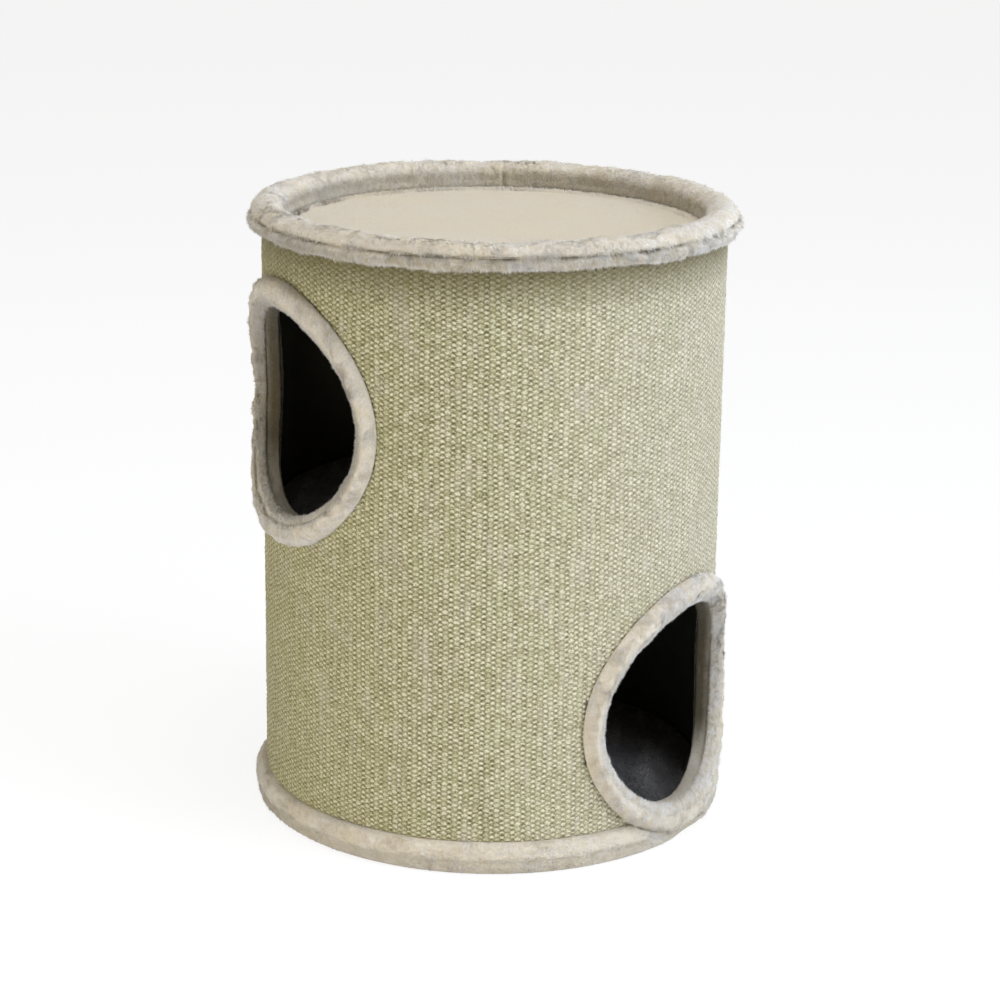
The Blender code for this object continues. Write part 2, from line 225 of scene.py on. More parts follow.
def even(path: Array, step: float) -> Array:
    """Puts points along a line at an even spacing, both ends included.

    Args:
        path: The line.
        step: The spacing, rounded so that it fits the length.

    Returns:
        The new points.
    """
    gaps = np.linalg.norm(np.diff(path, axis=0), axis=1)
    along = np.concatenate([[0], np.cumsum(gaps)])
    marks = np.linspace(0, along[-1], max(2, round(along[-1] / step) + 1))
    return np.stack([np.interp(marks, along, path[:, k]) for k in range(2)], axis=-1)


@dataclass
class Section:
    """A closed section: the line that shows, then the line behind it, both in one direction.

    The direction is anticlockwise, with the distance from the axis to the right and the height,
    or the drum radius, upwards.
    """

    shown: Array
    hidden: Array
    step: float = 0.0018
    hidden_step: float = 0.006

    def points(self) -> tuple[Array, Array]:
        """Points round the section.

        Returns:
            The points, and for each how much it shows, from 0 to 1.
        """
        front = even(self.shown, self.step)
        back = even(self.hidden, self.hidden_step)
        both = np.concatenate([front, back])
        end = np.minimum(np.arange(len(front)), np.arange(len(front))[::-1])
        shown = np.concatenate([np.clip(end / 3, 0, 1), np.zeros(len(back))])
        turned = np.roll(both, -1, axis=0)
        area = np.sum(both[:, 0] * turned[:, 1] - turned[:, 0] * both[:, 1])
        if area < 0:
            return both[::-1], shown[::-1]
        return both, shown


@dataclass
class Skin:
    """A surface in two parameters: points[u, v] goes round the piece and then along its section.

    It is closed in u. In v it is closed too, or with poles it starts and ends on the axis.
    """

    points: Array
    shown: Array
    poles: bool = False
    strips: int = 8

    @classmethod
    def turned(cls, section: Section, step: float = 0.0019) -> "Skin":
        """Turns a section of (radius, height) round the axis.

        Args:
            section: The closed section.
            step: Spacing of the points round the widest place.

        Returns:
            The turned surface.
        """
        flat, shown = section.points()
        return cls(revolve(flat, step), shown)

    @classmethod
    def disc(cls, under: float, path: Array, step: float) -> "Skin":
        """Turns a line that starts and ends on the axis: out along the underside, back on top.

        Args:
            under: Height of the underside.
            path: The line of (radius, height) from the rim of the underside to the axis.
            step: Spacing round the rim and along the line.

        Returns:
            The turned surface, whose first and last points are its poles.
        """
        top = even(path, step)
        reach = path[0, 0]
        flat = np.concatenate([[(0, under), (reach / 3, under), (reach * 2 / 3, under)], top])
        shown = np.concatenate([[0, 0, 0], np.clip(np.arange(len(top)) / 3, 0, 1)])
        return cls(revolve(flat, step), shown, poles=True)

    @classmethod
    def saddle(cls, section: Section, side: Side, step: float = 0.0019) -> "Skin":
        """Carries a section round an entrance, hugging the round wall.

        A point at bore distance b and drum radius d, at the angle a round the opening, is
        s = b cos a x splay(b, d) to the side of the opening's middle, b sin a above it and
        sqrt(d^2 - s^2) out from the drum's axis.

        Args:
            section: The closed section of (bore distance, drum radius).
            side: The entrance.
            step: Spacing of the points round the widest place.

        Returns:
            The ring's surface.
        """
        flat, shown = section.points()
        count = 4 * round(2 * math.pi * flat[:, 0].max() / step / 4)
        angle = 2 * math.pi * np.arange(count)[:, None] / count
        across, rise = flat[None, :, 0] * np.cos(angle), flat[None, :, 0] * np.sin(angle)
        across = across * splay(flat[None, :, 0], flat[None, :, 1])
        out = np.sqrt(flat[None, :, 1] ** 2 - across**2)
        sine, cosine = math.sin(side.turn), math.cos(side.turn)
        points = np.stack(
            [out * sine + across * cosine, -out * cosine + across * sine, side.height + rise],
            axis=-1,
        )
        return cls(points, shown, strips=4)

    def normals(self) -> Array:
        """Works out the outward normals: the cross product of the steps along u and v.

        Returns:
            A unit vector for each point.
        """
        along_u = np.roll(self.points, -1, axis=0) - np.roll(self.points, 1, axis=0)
        along_v = np.roll(self.points, -1, axis=1) - np.roll(self.points, 1, axis=1)
        if self.poles:
            along_v[:, 0] = self.points[:, 1] - self.points[:, 0]
            along_v[:, -1] = self.points[:, -1] - self.points[:, -2]
            along_u[:, 0], along_u[:, -1] = along_u[:, 1], along_u[:, -2]
        normal = np.cross(along_u, along_v)
        return normal / np.maximum(np.linalg.norm(normal, axis=-1, keepdims=True), 1e-12)

    def streaks(self, seed: int) -> Array:
        """Soft streaks round the piece: noise in patches that are five times as long as wide.

        Args:
            seed: A whole number that picks the pattern.

        Returns:
            A value from -1 to 1 at each point.
        """
        across, along = self.points.shape[:2]
        angle = 2 * math.pi * np.arange(across)[:, None] / across
        ring = self.points[:, along // 2]
        reach = np.linalg.norm(ring - ring.mean(axis=0), axis=1).mean()
        gaps = np.linalg.norm(np.diff(self.points[0], axis=0), axis=1)
        height = 5 * np.concatenate([[0], np.cumsum(gaps)])[None, :] + 0 * angle
        x, y = reach * np.cos(angle) + 0 * height, reach * np.sin(angle) + 0 * height
        spots = np.stack([x, y, height], axis=-1)
        wide, narrow = lattice_noise(spots, 0.026, seed + 70), lattice_noise(spots, 0.010, seed + 71)
        return 0.65 * wide + 0.45 * narrow

    def moved(self, rise: Array) -> "Skin":
        """Moves the shown points out along their normals by rise, one number for each point."""
        shift = (rise * self.shown)[..., None] * self.normals()
        return Skin(self.points + shift, self.shown, self.poles, self.strips)

    def corners(self) -> tuple[Array, Array]:
        """The corners of all faces.

        Returns:
            Whole numbers of shape (faces, 4, 2), the u and v of each corner, counted on past the
            last point where the surface closes, and the picture place of each corner from 0 to 1.
        """
        across, along = self.points.shape[:2]
        rows = along - 1 if self.poles else along
        u, v = np.meshgrid(np.arange(across), np.arange(rows), indexing="ij")
        start = np.stack([u.ravel(), v.ravel()], axis=-1)[:, None, :]
        spots = start + np.array([[0, 0], [1, 0], [1, 1], [0, 1]])[None]
        if self.poles:
            places = self.points[spots[..., 0] % across, spots[..., 1]][..., :2]
            places = places / (2.04 * np.abs(self.points[..., 0]).max())
            top = (start[..., 1:] >= 3).astype(float)
            return spots, np.where(top == 1, 0.5 + places, 0.072 + 0.13 * places)
        each = across // self.strips
        strip = start[..., 0] // each
        place_u = 0.01 + 0.98 * (spots[..., 0] - strip * each) / each
        place_v = (strip + 0.03 + 0.94 * spots[..., 1] / rows) / self.strips
        return spots, np.stack([place_u, place_v], axis=-1)


@dataclass
class Faces:
    """A mesh in the making: points, faces by their corners, and what each corner carries."""

    points: Array
    corners: Array
    counts: Array
    places: Array
    normals: Array | None = None
    extra: dict[str, Array] = field(default_factory=dict)
    maps: dict[str, Array] = field(default_factory=dict)

    def mesh(self, name: str) -> bpy.types.Mesh:
        """Puts the arrays into a new mesh with smooth faces.

        Args:
            name: The mesh's name.

        Returns:
            The mesh.
        """
        mesh = bpy.data.meshes.new(name)
        mesh.vertices.add(len(self.points))
        mesh.vertices.foreach_set("co", self.points.astype(np.float32).ravel())
        mesh.loops.add(len(self.corners))
        mesh.loops.foreach_set("vertex_index", self.corners.astype(np.int32))
        mesh.polygons.add(len(self.counts))
        starts = np.concatenate([[0], np.cumsum(self.counts)[:-1]])
        mesh.polygons.foreach_set("loop_start", starts.astype(np.int32))
        mesh.polygons.foreach_set("use_smooth", np.ones(len(self.counts), bool))
        mesh.update(calc_edges=True)
        for title, values in {"OFBake": self.places, **self.maps}.items():
            layer = mesh.uv_layers.new(name=title)
            layer.uv.foreach_set("vector", values.astype(np.float32).ravel())
        for title, values in self.extra.items():
            layer = mesh.attributes.new(title, "FLOAT", "POINT")
            layer.data.foreach_set("value", values.astype(np.float32))
        if self.normals is not None:
            mesh.normals_split_custom_set_from_vertices(self.normals.tolist())
        mesh.update()
        return mesh


def skin_faces(skin: Skin) -> Faces:
    """Turns a skin into a mesh in the making, with one point at each pole.

    Args:
        skin: The surface.

    Returns:
        Its points and faces. A face at a pole has three corners.
    """
    across, along = skin.points.shape[:2]
    number = np.arange(across * along).reshape(across, along)
    if skin.poles:
        number[:, 0], number[:, -1] = number[0, 0], number[0, -1]
    spots, places = skin.corners()
    index = number[spots[..., 0] % across, spots[..., 1] % along]
    keep = np.ones(index.shape, bool)
    keep[index[:, 0] == index[:, 1], 1] = False
    keep[index[:, 2] == index[:, 3], 3] = False
    used, index = np.unique(index[keep], return_inverse=True)
    points = skin.points.reshape(-1, 3)[used]
    return Faces(points, index, keep.sum(axis=1), places[keep])


@dataclass(frozen=True)
class Pile:
    """How a plush's pile stands on its cloth.

    Each lock of hair is a closed three-sided spike. It starts on a random place of the skin and
    leans along the nap, which wanders with smooth noise, so that neighbouring locks lie together.
    The nap is given across and along the skin, or for a combed pile as x and y.
    """

    density: float  # Hairs to the square millimetre
    length: float = 0.0034
    width: float = 0.0009
    lean: float = 0.70
    nap: tuple[float, float] = (0.0, 1.0)
    swirl: float = 0.9
    seed: int = 1
    lock: float = 0.28
    round: float = 0.9
    lock_size: tuple[float, float] = (0.0060, 0.0019)
    combed: bool = False

    def locks(self, places: Array, root: Array) -> Array:
        """Shades the locks: noise in patches that are long along the nap and narrow across it.

        Args:
            places: The u and v of each hair, about 1.9 mm to the unit.
            root: Where each hair stands.

        Returns:
            A value from -1 to 1 for each hair.
        """
        turn = math.atan2(*self.nap)
        u, v = 0.0019 * places + 0.0012 * vector_noise(root, 0.012, self.seed + 15)[:, :2].T
        along = (u * math.sin(turn) + v * math.cos(turn)) / self.lock_size[0]
        aside = (u * math.cos(turn) - v * math.sin(turn)) / self.lock_size[1]
        return lattice_noise(np.stack([along, aside, 0 * along], axis=-1), 1.0, self.seed + 17)

    def grow(self, skin: Skin, thick: Array | None = None) -> Faces:
        """Grows the pile on the shown part of a skin.

        Args:
            skin: The surface that carries it.
            thick: How much thicker than usual the pile stands at each point, or None.

        Returns:
            The spikes as one mesh in the making.
        """
        chance = np.random.default_rng(self.seed)
        across, along = skin.points.shape[:2]
        spots, places = skin.corners()
        u, v = spots[..., 0] % across, spots[..., 1] % along
        shown = skin.shown[v].min(axis=1) > 0.3
        u, v, places = u[shown], v[shown], places[shown]
        corner = skin.points[u, v]
        side_u, side_v = corner[:, 1] - corner[:, 0], corner[:, 3] - corner[:, 0]
        area = np.linalg.norm(np.cross(side_u, side_v), axis=1)
        if thick is not None:
            area = area * thick[u[:, 0], v[:, 0]]
        count = int(area.sum() * 1e6 * self.density)
        pick = np.searchsorted(np.cumsum(area) / area.sum(), chance.random(count))
        pick = np.minimum(pick, len(area) - 1)
        a, b = chance.random((2, count, 1))
        mix = np.stack([(1 - a) * (1 - b), a * (1 - b), a * b, (1 - a) * b], axis=1)
        root = (corner[pick] * mix).sum(axis=1)
        normal = (skin.normals()[u, v][pick] * mix).sum(axis=1)
        normal /= np.linalg.norm(normal, axis=1, keepdims=True)
        step_u, step_v = side_u[pick], side_v[pick]
        size_u, size_v = (np.sum(s * s, axis=1, keepdims=True) for s in (step_u, step_v))
        wander = self.swirl * lattice_noise(root, 0.022, self.seed + 5)
        wander = (wander + chance.normal(0, 0.25, count) + math.atan2(*self.nap))[:, None]
        if self.combed:
            nap = np.concatenate([np.sin(wander), np.cos(wander), 0 * wander], axis=1)
        else:
            nap = step_u * np.sin(wander) / np.sqrt(size_u)
            nap = nap + step_v * np.cos(wander) / np.sqrt(size_v)
        lock = vector_noise(root, 0.0045, self.seed + 9)
        lean = np.clip(self.lean * chance.normal(1, 0.14, (count, 1)), 0, 0.97)
        way = nap * lean + normal * (1 - lean) + self.lock * lock
        way += normal * np.maximum(0, 0.22 - np.sum(way * normal, axis=1, keepdims=True))
        way /= np.linalg.norm(way, axis=1, keepdims=True)
        length = self.length * (0.65 + 0.55 * chance.random((count, 1)))
        wide = np.cross(way, normal + 0.01 * chance.normal(0, 1, (count, 3)))
        wide /= np.maximum(np.linalg.norm(wide, axis=1, keepdims=True), 1e-9)
        over = np.cross(wide, way)
        half = self.width / 2 * (0.7 + 0.6 * chance.random((count, 1)))
        low = root - 0.0005 * normal
        left, right = -0.87 * wide - 0.5 * over, 0.87 * wide - 0.5 * over
        spike = np.stack(
            [low + half * right, low + half * left, low + half * over, root + way * length], axis=1
        )
        bulge = np.stack([right, left, over, 0 * wide], axis=1) * self.round + normal[:, None]
        bulge /= np.linalg.norm(bulge, axis=2, keepdims=True)
        spike[..., 2] = np.maximum(spike[..., 2], 0)
        shift = spike - root[:, None]
        part_u = np.sum(shift * step_u[:, None], axis=2) / size_u
        part_v = np.sum(shift * step_v[:, None], axis=2) / size_v
        turn_u = (places[:, 1] - places[:, 0])[pick][:, None]
        turn_v = (places[:, 3] - places[:, 0])[pick][:, None]
        middle = (places[pick] * mix).sum(axis=1)[:, None]
        spread = np.clip(middle + part_u[..., None] * turn_u + part_v[..., None] * turn_v, 0, 1)
        shape = np.array([[2, 0, 3], [0, 1, 3], [1, 2, 3], [0, 2, 1]])
        index = (np.arange(count)[:, None, None] * 4 + shape[None]).ravel()
        tip = np.tile([0.0, 0.0, 0.15, 1.0], count)
        lie = (skin.streaks(self.seed)[u, v][pick] * mix[..., 0]).sum(axis=1)
        at = np.stack([u, v])[:, pick, 0] + np.stack([a, b])[..., 0]
        own = 0.35 * lie + 0.60 * self.locks(at, root)
        luck = chance.random(count)
        own = own + 0.25 * (luck - 0.5) + 0.42 * (luck > 0.86)
        shade = np.repeat(np.clip(0.5 + own, 0, 1), 4)
        return Faces(
            spike.reshape(-1, 3),
            index,
            np.full(4 * count, 3),
            spread.reshape(-1, 2)[index],
            bulge.reshape(-1, 3),
            {"tip": tip, "shade": shade},
        )


NAP = Pile(density=1.10, length=0.0023, width=0.0010, lean=0.80, swirl=1.2, lock=0.20, round=0.42)
TUFT = Pile(density=1.6, length=0.0038, width=0.0009, lean=0.80, swirl=1.8, lock=0.36, round=0.5)


def split(faces: Faces, parts: int) -> list[Faces]:
    """Shares the spikes of a pile out among several meshes.

    Args:
        faces: The pile, four points and four faces to a spike.
        parts: How many meshes it becomes.

    Returns:
        The meshes in the making.
    """
    bounds = np.linspace(0, len(faces.points) // 4, parts + 1).astype(int)
    shares = []
    for low, high in zip(bounds[:-1], bounds[1:]):
        share = Faces(
            faces.points[4 * low : 4 * high],
            faces.corners[12 * low : 12 * high] - 4 * low,
            faces.counts[4 * low : 4 * high],
            faces.places[12 * low : 12 * high],
            faces.normals[4 * low : 4 * high],
            {title: values[4 * low : 4 * high] for title, values in faces.extra.items()},
        )
        shares.append(share)
    return shares


class Signal:
    """A value that flows through a tree of nodes. Arithmetic on it adds Math nodes."""

    def __init__(self, nodes: "Nodes", socket: Socket) -> None:
        """Keeps the nodes and the output that carries the value."""
        self.nodes = nodes
        self.socket = socket

    def __add__(self, other: "Signal | float") -> "Signal":
        """The sum."""
        return self.nodes.math("ADD", self, other)

    def __sub__(self, other: "Signal | float") -> "Signal":
        """The difference."""
        return self.nodes.math("SUBTRACT", self, other)

    def __rsub__(self, other: float) -> "Signal":
        """A plain number less this value."""
        return self.nodes.math("SUBTRACT", other, self)

    def __mul__(self, other: "Signal | float") -> "Signal":
        """The product."""
        return self.nodes.math("MULTIPLY", self, other)

    def __pow__(self, other: float) -> "Signal":
        """This value to a power."""
        return self.nodes.math("POWER", self, other)

    def __mod__(self, other: float) -> "Signal":
        """What a division leaves."""
        return self.nodes.math("MODULO", self, other)

    def __abs__(self) -> "Signal":
        """This value without its sign."""
        return self.nodes.math("ABSOLUTE", self)

    def between(self, low: float, high: float) -> "Signal":
        """Stretches low to high over 0 to 1, held at both ends."""
        return self.nodes.flow("MapRange", {"Value": self, "From Min": low, "From Max": high})


Flow = Signal | float | tuple[float, ...]


class Nodes:
    """A tree of nodes, with short ways to add and join them."""

    def __init__(self, tree: bpy.types.NodeTree) -> None:
        """Keeps the tree."""
        self.tree = tree

    def join(self, value: Flow, socket: Socket) -> None:
        """Joins a value to an input, or sets a number or a colour of three parts on it.

        Args:
            value: What flows in.
            socket: The input.
        """
        if isinstance(value, Signal):
            self.tree.links.new(value.socket, socket)
        elif isinstance(value, tuple) and len(value) < len(socket.default_value):
            socket.default_value = (*value, 1)
        else:
            socket.default_value = value

    def add(self, kind: str, inputs: dict[str | int, Flow] | None = None) -> bpy.types.Node:
        """Adds a node.

        Args:
            kind: Blender's name of the node, without ShaderNode.
            inputs: What flows into it, by the names or numbers of its inputs.

        Returns:
            The node.
        """
        node = self.tree.nodes.new(f"ShaderNode{kind}")
        for name, value in (inputs or {}).items():
            self.join(value, node.inputs[name])
        return node

    def flow(self, kind: str, inputs: dict[str | int, Flow], output: str | int = 0) -> Signal:
        """Adds a node and returns one of its outputs."""
        return Signal(self, self.add(kind, inputs).outputs[output])

    def math(self, operation: str, first: Flow, second: Flow = 0.0) -> Signal:
        """Adds a Math node and returns its output."""
        node = self.add("Math", {0: first, 1: second})
        node.operation = operation
        return Signal(self, node.outputs[0])


class Surface(Nodes):
    """A material in the making."""

    def __init__(self, name: str) -> None:
        """Starts a material with its Principled shader.

        Args:
            name: The material's name.
        """
        self.material = bpy.data.materials.new(name)
        self.material.use_nodes = True
        super().__init__(self.material.node_tree)
        self.shader = self.tree.nodes["Principled BSDF"]
        self.object = self.flow("TexCoord", {}, "Object")

    def dress(self, values: dict[str, Flow]) -> None:
        """Sets the shader's own inputs, or joins values to them."""
        for name, value in values.items():
            self.join(value, self.shader.inputs[name])

    def mix(self, share: Flow, first: Flow, second: Flow) -> Signal:
        """Mixes two colours.

        Args:
            share: How much of the second, from 0 to 1.
            first: A colour.
            second: A colour.

        Returns:
            The mixed colour.
        """
        node = self.add("Mix")
        node.data_type = "RGBA"
        for place, value in ((0, share), (6, first), (7, second)):
            self.join(value, node.inputs[place])
        return Signal(self, node.outputs[2])

    def stretched(self, source: Signal, scale: tuple[float, float, float]) -> Signal:
        """Scales places along x, y and z, and returns them."""
        return self.flow("Mapping", {"Vector": source, "Scale": scale})

    def noise(self, source: Signal, scale: float, detail: float = 2.0) -> Signal:
        """Adds smooth noise of about 0.5, with scale patches to the unit, and returns it."""
        return self.flow("TexNoise", {"Vector": source, "Scale": scale, "Detail": detail})

    def ramp(self, share: Signal, *stops: tuple[float, Colour]) -> Signal:
        """Turns a value into a colour.

        Args:
            share: The value.
            stops: Pairs of a value and its colour, lowest first.

        Returns:
            The colour.
        """
        node = self.add("ValToRGB", {0: share})
        elements = node.color_ramp.elements
        while len(elements) < len(stops):
            elements.new(0.5)
        for element, (place, colour) in zip(elements, stops):
            element.position = place
            element.color = (*colour, 1)
        return Signal(self, node.outputs[0])

    def bump(self, height: Signal, depth: float) -> None:
        """Gives the shader a relief of this depth, in metres."""
        self.dress({"Normal": self.flow("Bump", {"Distance": depth, "Height": height})})

    def attribute(self, name: str) -> Signal:
        """Reads a number that the mesh carries at its points."""
        node = self.add("Attribute")
        node.attribute_name = name
        return Signal(self, node.outputs["Fac"])


def screen(red: int, green: int, blue: int) -> Colour:
    """A colour as seen on a screen, 0 to 255, turned into amounts of light."""
    parts = [value / 255 for value in (red, green, blue)]
    return tuple(p / 12.92 if p <= 0.04045 else ((p + 0.055) / 1.055) ** 2.4 for p in parts)


@dataclass(frozen=True)
class Plush:
    """Short pile: a colour that drifts in soft clouds, with painted shade at the roots and a faint sheen.

    The mesh carries tip, how near a point is to the hair's tip, shade, the luck of each hair, and
    deep, the painted shade of folds, seams, the rim's inner wall and shaded sides.
    """

    name: str
    light: Colour
    cool: Colour
    root: Colour
    sheen: float = 0.25
    cloud: float = 26.0
    streaked: bool = False
    mottle: float = 0.0
    # The colour that the painted shade goes towards.
    dark: Colour = screen(86, 76, 51)
    streak_colour: Colour = screen(178, 174, 172)
    streak_scale: tuple[float, float, float] = (48, 10, 48)
    fine: float = 420
    fine_depth: float = 0.0007

    def make(self) -> Material:
        """Builds the material.

        Returns:
            The finish, ready for a piece.
        """
        nodes = Surface(self.name)
        clouds = nodes.noise(nodes.object, self.cloud, 3)
        colour = nodes.mix(clouds.between(0.36, 0.64), self.light, self.cool)
        if self.streaked:
            long = nodes.noise(nodes.stretched(nodes.object, self.streak_scale), 1.0, 3)
            colour = nodes.mix(long.between(0.48, 0.66), colour, self.streak_colour)
        shade = nodes.attribute("shade")
        colour = nodes.mix(shade.between(0.5, 1.0) * 0.75, colour, self.root)
        colour = nodes.mix(shade.between(0.5, 0.0) * 0.7, colour, self.cool)
        if self.mottle:
            spots = nodes.noise(nodes.object, 105, 3).between(0.56, 0.34)
            colour = nodes.mix(spots * self.mottle, colour, self.root)
        # Painted shade in the pile: the lower parts of the hairs, and the bare cloth, take the root
        # colour.
        lit = nodes.math("MAXIMUM", nodes.attribute("tip"), 0.3)
        colour = nodes.mix(lit, self.root, colour)
        nodes.dress({
            # Painted shade: the deep attribute takes the colour towards dark.
            "Base Color": nodes.mix(nodes.attribute("painted_shade"), colour, self.dark),
            "Roughness": 0.92, "Specular IOR Level": 0.12,
            "Sheen Weight": self.sheen, "Sheen Roughness": 0.6,
        })
        nodes.bump(nodes.noise(nodes.object, self.fine, 2), self.fine_depth)
        return nodes.material


@dataclass(frozen=True)
class Sisal:
    """Flat-woven sisal: beads of twisted yarn in wide and narrow columns, with painted shade between
    beads and painted highlights on their crowns.

    The pattern is read from the map Weave, where u counts the columns and v the beads of each.
    """

    name: str = "sisal_weave"
    # Colour of the painted shade in the gaps between beads and of the painted shadow under the rim.
    gap_shade: Colour = screen(107, 98, 61)
    shadow: Colour = screen(154, 147, 107)
    body: Colour = screen(185, 178, 140)
    # Colour of the painted highlights on the crowns of the beads.
    crown: Colour = screen(236, 231, 207)
    greenish: Colour = screen(160, 166, 112)
    pinkish: Colour = screen(206, 194, 186)
    # Painted light: a pale tint for the lit right side and an olive one for the shaded left side.
    lit_side_tint: Colour = screen(238, 226, 214)
    shaded_side_tint: Colour = screen(156, 147, 80)

    def level(self, nodes: Surface) -> Signal:
        """Works out how high the yarn stands, from 0 in the gaps to 1 on the crowns.

        A bead is 0.74 less (2x)^4 across and (ky)^3.2 along, where x and y run from its middle and
        the ends sag with x^2. Each bead has its own luck, noise along the yarn makes the fibres,
        and a painted highlight lies on the middle of each narrow bead. The colour follows this level,
        so the gaps take painted shade and the crowns painted highlights.

        Args:
            nodes: The material in the making.

        Returns:
            The level.
        """
        source = nodes.add("UVMap")
        source.uv_map = "Weave"
        weave = Signal(nodes, source.outputs[0])
        apart = nodes.add("SeparateXYZ", {0: weave})
        u, v = (Signal(nodes, apart.outputs[axis]) for axis in ("X", "Y"))
        column, row = nodes.math("FLOOR", u), nodes.math("FLOOR", v)
        narrow = column % 2.0
        off_x = abs(nodes.math("FRACT", u) - 0.5)
        uneven = nodes.noise(nodes.stretched(weave, (1.3, 2.6, 1)), 1.0, 3) - 0.5
        drape = v + off_x * off_x * 0.9 + uneven * 1.05
        off_y = abs(nodes.math("FRACT", drape) - 0.5)
        across = (off_x * 2.0) ** 4.0 * 0.34
        broken = nodes.noise(nodes.stretched(weave, (3.1, 1.4, 1)), 1.0, 1).between(0.34, 0.62)
        up = (off_y * (narrow * 0.46 + 1.90)) ** 3.2 * (broken * 0.66 + 0.34)
        own = nodes.add("TexWhiteNoise")
        own.noise_dimensions = "2D"
        nodes.join(nodes.flow("CombineXYZ", {"X": column, "Y": row}), own.inputs["Vector"])
        luck = (Signal(nodes, own.outputs["Value"]) - 0.5) * 0.24
        fibre = nodes.noise(nodes.stretched(weave, (3.2, 4.2, 1)), 1.0, 3)
        # Painted highlight on the middle of each narrow bead.
        highlight_spot = nodes.math("MAXIMUM", 0.17 - off_y, 0.0) * 4.0 * off_x.between(0.38, 0.10)
        return 0.74 - (across + up) + ((fibre - 0.5) * 1.75 + luck) + highlight_spot * (narrow + 0.22)

    def tints_and_painted_light(self, nodes: Surface, colour: Signal) -> Signal:
        """Adds greenish and pinkish patches, painted light that pales the right side and darkens the left
        side towards olive, and the painted shadow under the rim.

        Args:
            nodes: The material in the making.
            colour: The yarn's colour.

        Returns:
            The colour with its drifts.
        """
        patch = nodes.noise(nodes.stretched(nodes.object, (1, 1, 0.5)), 60, 3)
        colour = nodes.mix(patch.between(0.52, 0.76) * 0.24, colour, self.greenish)
        colour = nodes.mix(patch.between(0.46, 0.24) * 0.28, colour, self.pinkish)
        place = nodes.add("SeparateXYZ", {0: nodes.object})
        x, z = (Signal(nodes, place.outputs[axis]) for axis in ("X", "Z"))
        # Painted light: paler towards +X, where the light falls, more olive towards -X, in the shade.
        colour = nodes.mix(x.between(0.0, 0.17) * 0.25, colour, self.lit_side_tint)
        colour = nodes.mix(x.between(-0.03, -0.17) * 0.34, colour, self.shaded_side_tint)
        # Painted shadow under the rim: darker towards the gap colour near the rim's foot.
        rim_shadow = z.between(RIM_BOTTOM - 0.036, RIM_BOTTOM - 0.006) * 0.78
        return nodes.mix(rim_shadow, colour, self.gap_shade)

    def make(self) -> Material:
        """Builds the material.

        Returns:
            The finish, ready for a piece.
        """
        nodes = Surface(self.name)
        level = self.level(nodes)
        # Painted shade in the gaps and painted highlights on the crowns, read off the yarn's level.
        colour = nodes.ramp(
            level, (0.0, self.gap_shade), (0.27, self.shadow), (0.66, self.body), (1.0, self.crown)
        )
        nodes.dress({
            "Base Color": self.tints_and_painted_light(nodes, colour),
            "Roughness": 0.72, "Specular IOR Level": 0.25, "Sheen Weight": 0.12,
        })
        nodes.bump(level, 0.0004)
        return nodes.material


@dataclass(frozen=True)
class Felt:
    """Dark needle felt, matt, with pale stray fibres."""

    name: str = "den_felt"
    colour: Colour = screen(88, 89, 74)
    deepest: Colour = (0.03, 0.03, 0.024)
    stray: Colour = (0.12, 0.12, 0.10)
    drift: Colour = (0.045, 0.045, 0.036)

    def make(self) -> Material:
        """Builds the material.

        Returns:
            The finish, ready for a piece.
        """
        nodes = Surface(self.name)
        fibres = nodes.noise(nodes.stretched(nodes.object, (1, 1, 3)), 900, 3)
        clouds = nodes.noise(nodes.object, 30, 2)
        colour = nodes.ramp(fibres, (0.35, self.deepest), (0.62, self.colour), (0.8, self.stray))
        nodes.dress({
            "Base Color": nodes.mix(clouds * 0.5, colour, self.drift),
            "Roughness": 0.95, "Specular IOR Level": 0.1, "Sheen Weight": 0.05,
        })
        nodes.bump(fibres, 0.0005)
        return nodes.material


@dataclass(frozen=True)
class WoundBoard:
    """Brown wound board: grey-brown paper with short fibres."""

    name: str = "wound_board"
    dark: Colour = screen(142, 108, 74)
    colour: Colour = screen(166, 130, 92)
    pale: Colour = screen(186, 152, 114)
    drift: Colour = screen(150, 120, 90)

    def make(self) -> Material:
        """Builds the material.

        Returns:
            The finish, ready for a piece.
        """
        nodes = Surface(self.name)
        fibres = nodes.noise(nodes.stretched(nodes.object, (1, 1, 4)), 260, 4)
        clouds = nodes.noise(nodes.object, 14, 2)
        colour = nodes.ramp(fibres, (0.3, self.dark), (0.55, self.colour), (0.8, self.pale))
        nodes.dress({"Base Color": nodes.mix(clouds * 0.4, colour, self.drift), "Roughness": 0.88})
        nodes.bump(fibres, 0.0003)
        return nodes.material


@dataclass(frozen=True)
class ParticleBoard:
    """Pressed chips of wood in mixed browns, with small pits."""

    name: str = "particle_board"
    light: Colour = screen(204, 172, 124)
    dark: Colour = screen(150, 112, 70)

    def make(self) -> Material:
        """Builds the material.

        Returns:
            The finish, ready for a piece.
        """
        nodes = Surface(self.name)
        spread = nodes.stretched(nodes.object, (1, 0.45, 1))
        chips = nodes.add("TexVoronoi", {"Vector": spread, "Scale": 420})
        grain = nodes.noise(nodes.stretched(nodes.object, (6, 1, 6)), 220, 3)
        own = nodes.flow("SeparateColor", {0: Signal(nodes, chips.outputs["Color"])})
        shade = (own + grain) * 0.5
        nodes.dress({
            "Base Color": nodes.ramp(shade, (0.22, self.dark), (0.70, self.light)),
            "Roughness": 0.8,
        })
        nodes.bump(shade + Signal(nodes, chips.outputs["Distance"]), 0.0004)
        return nodes.material


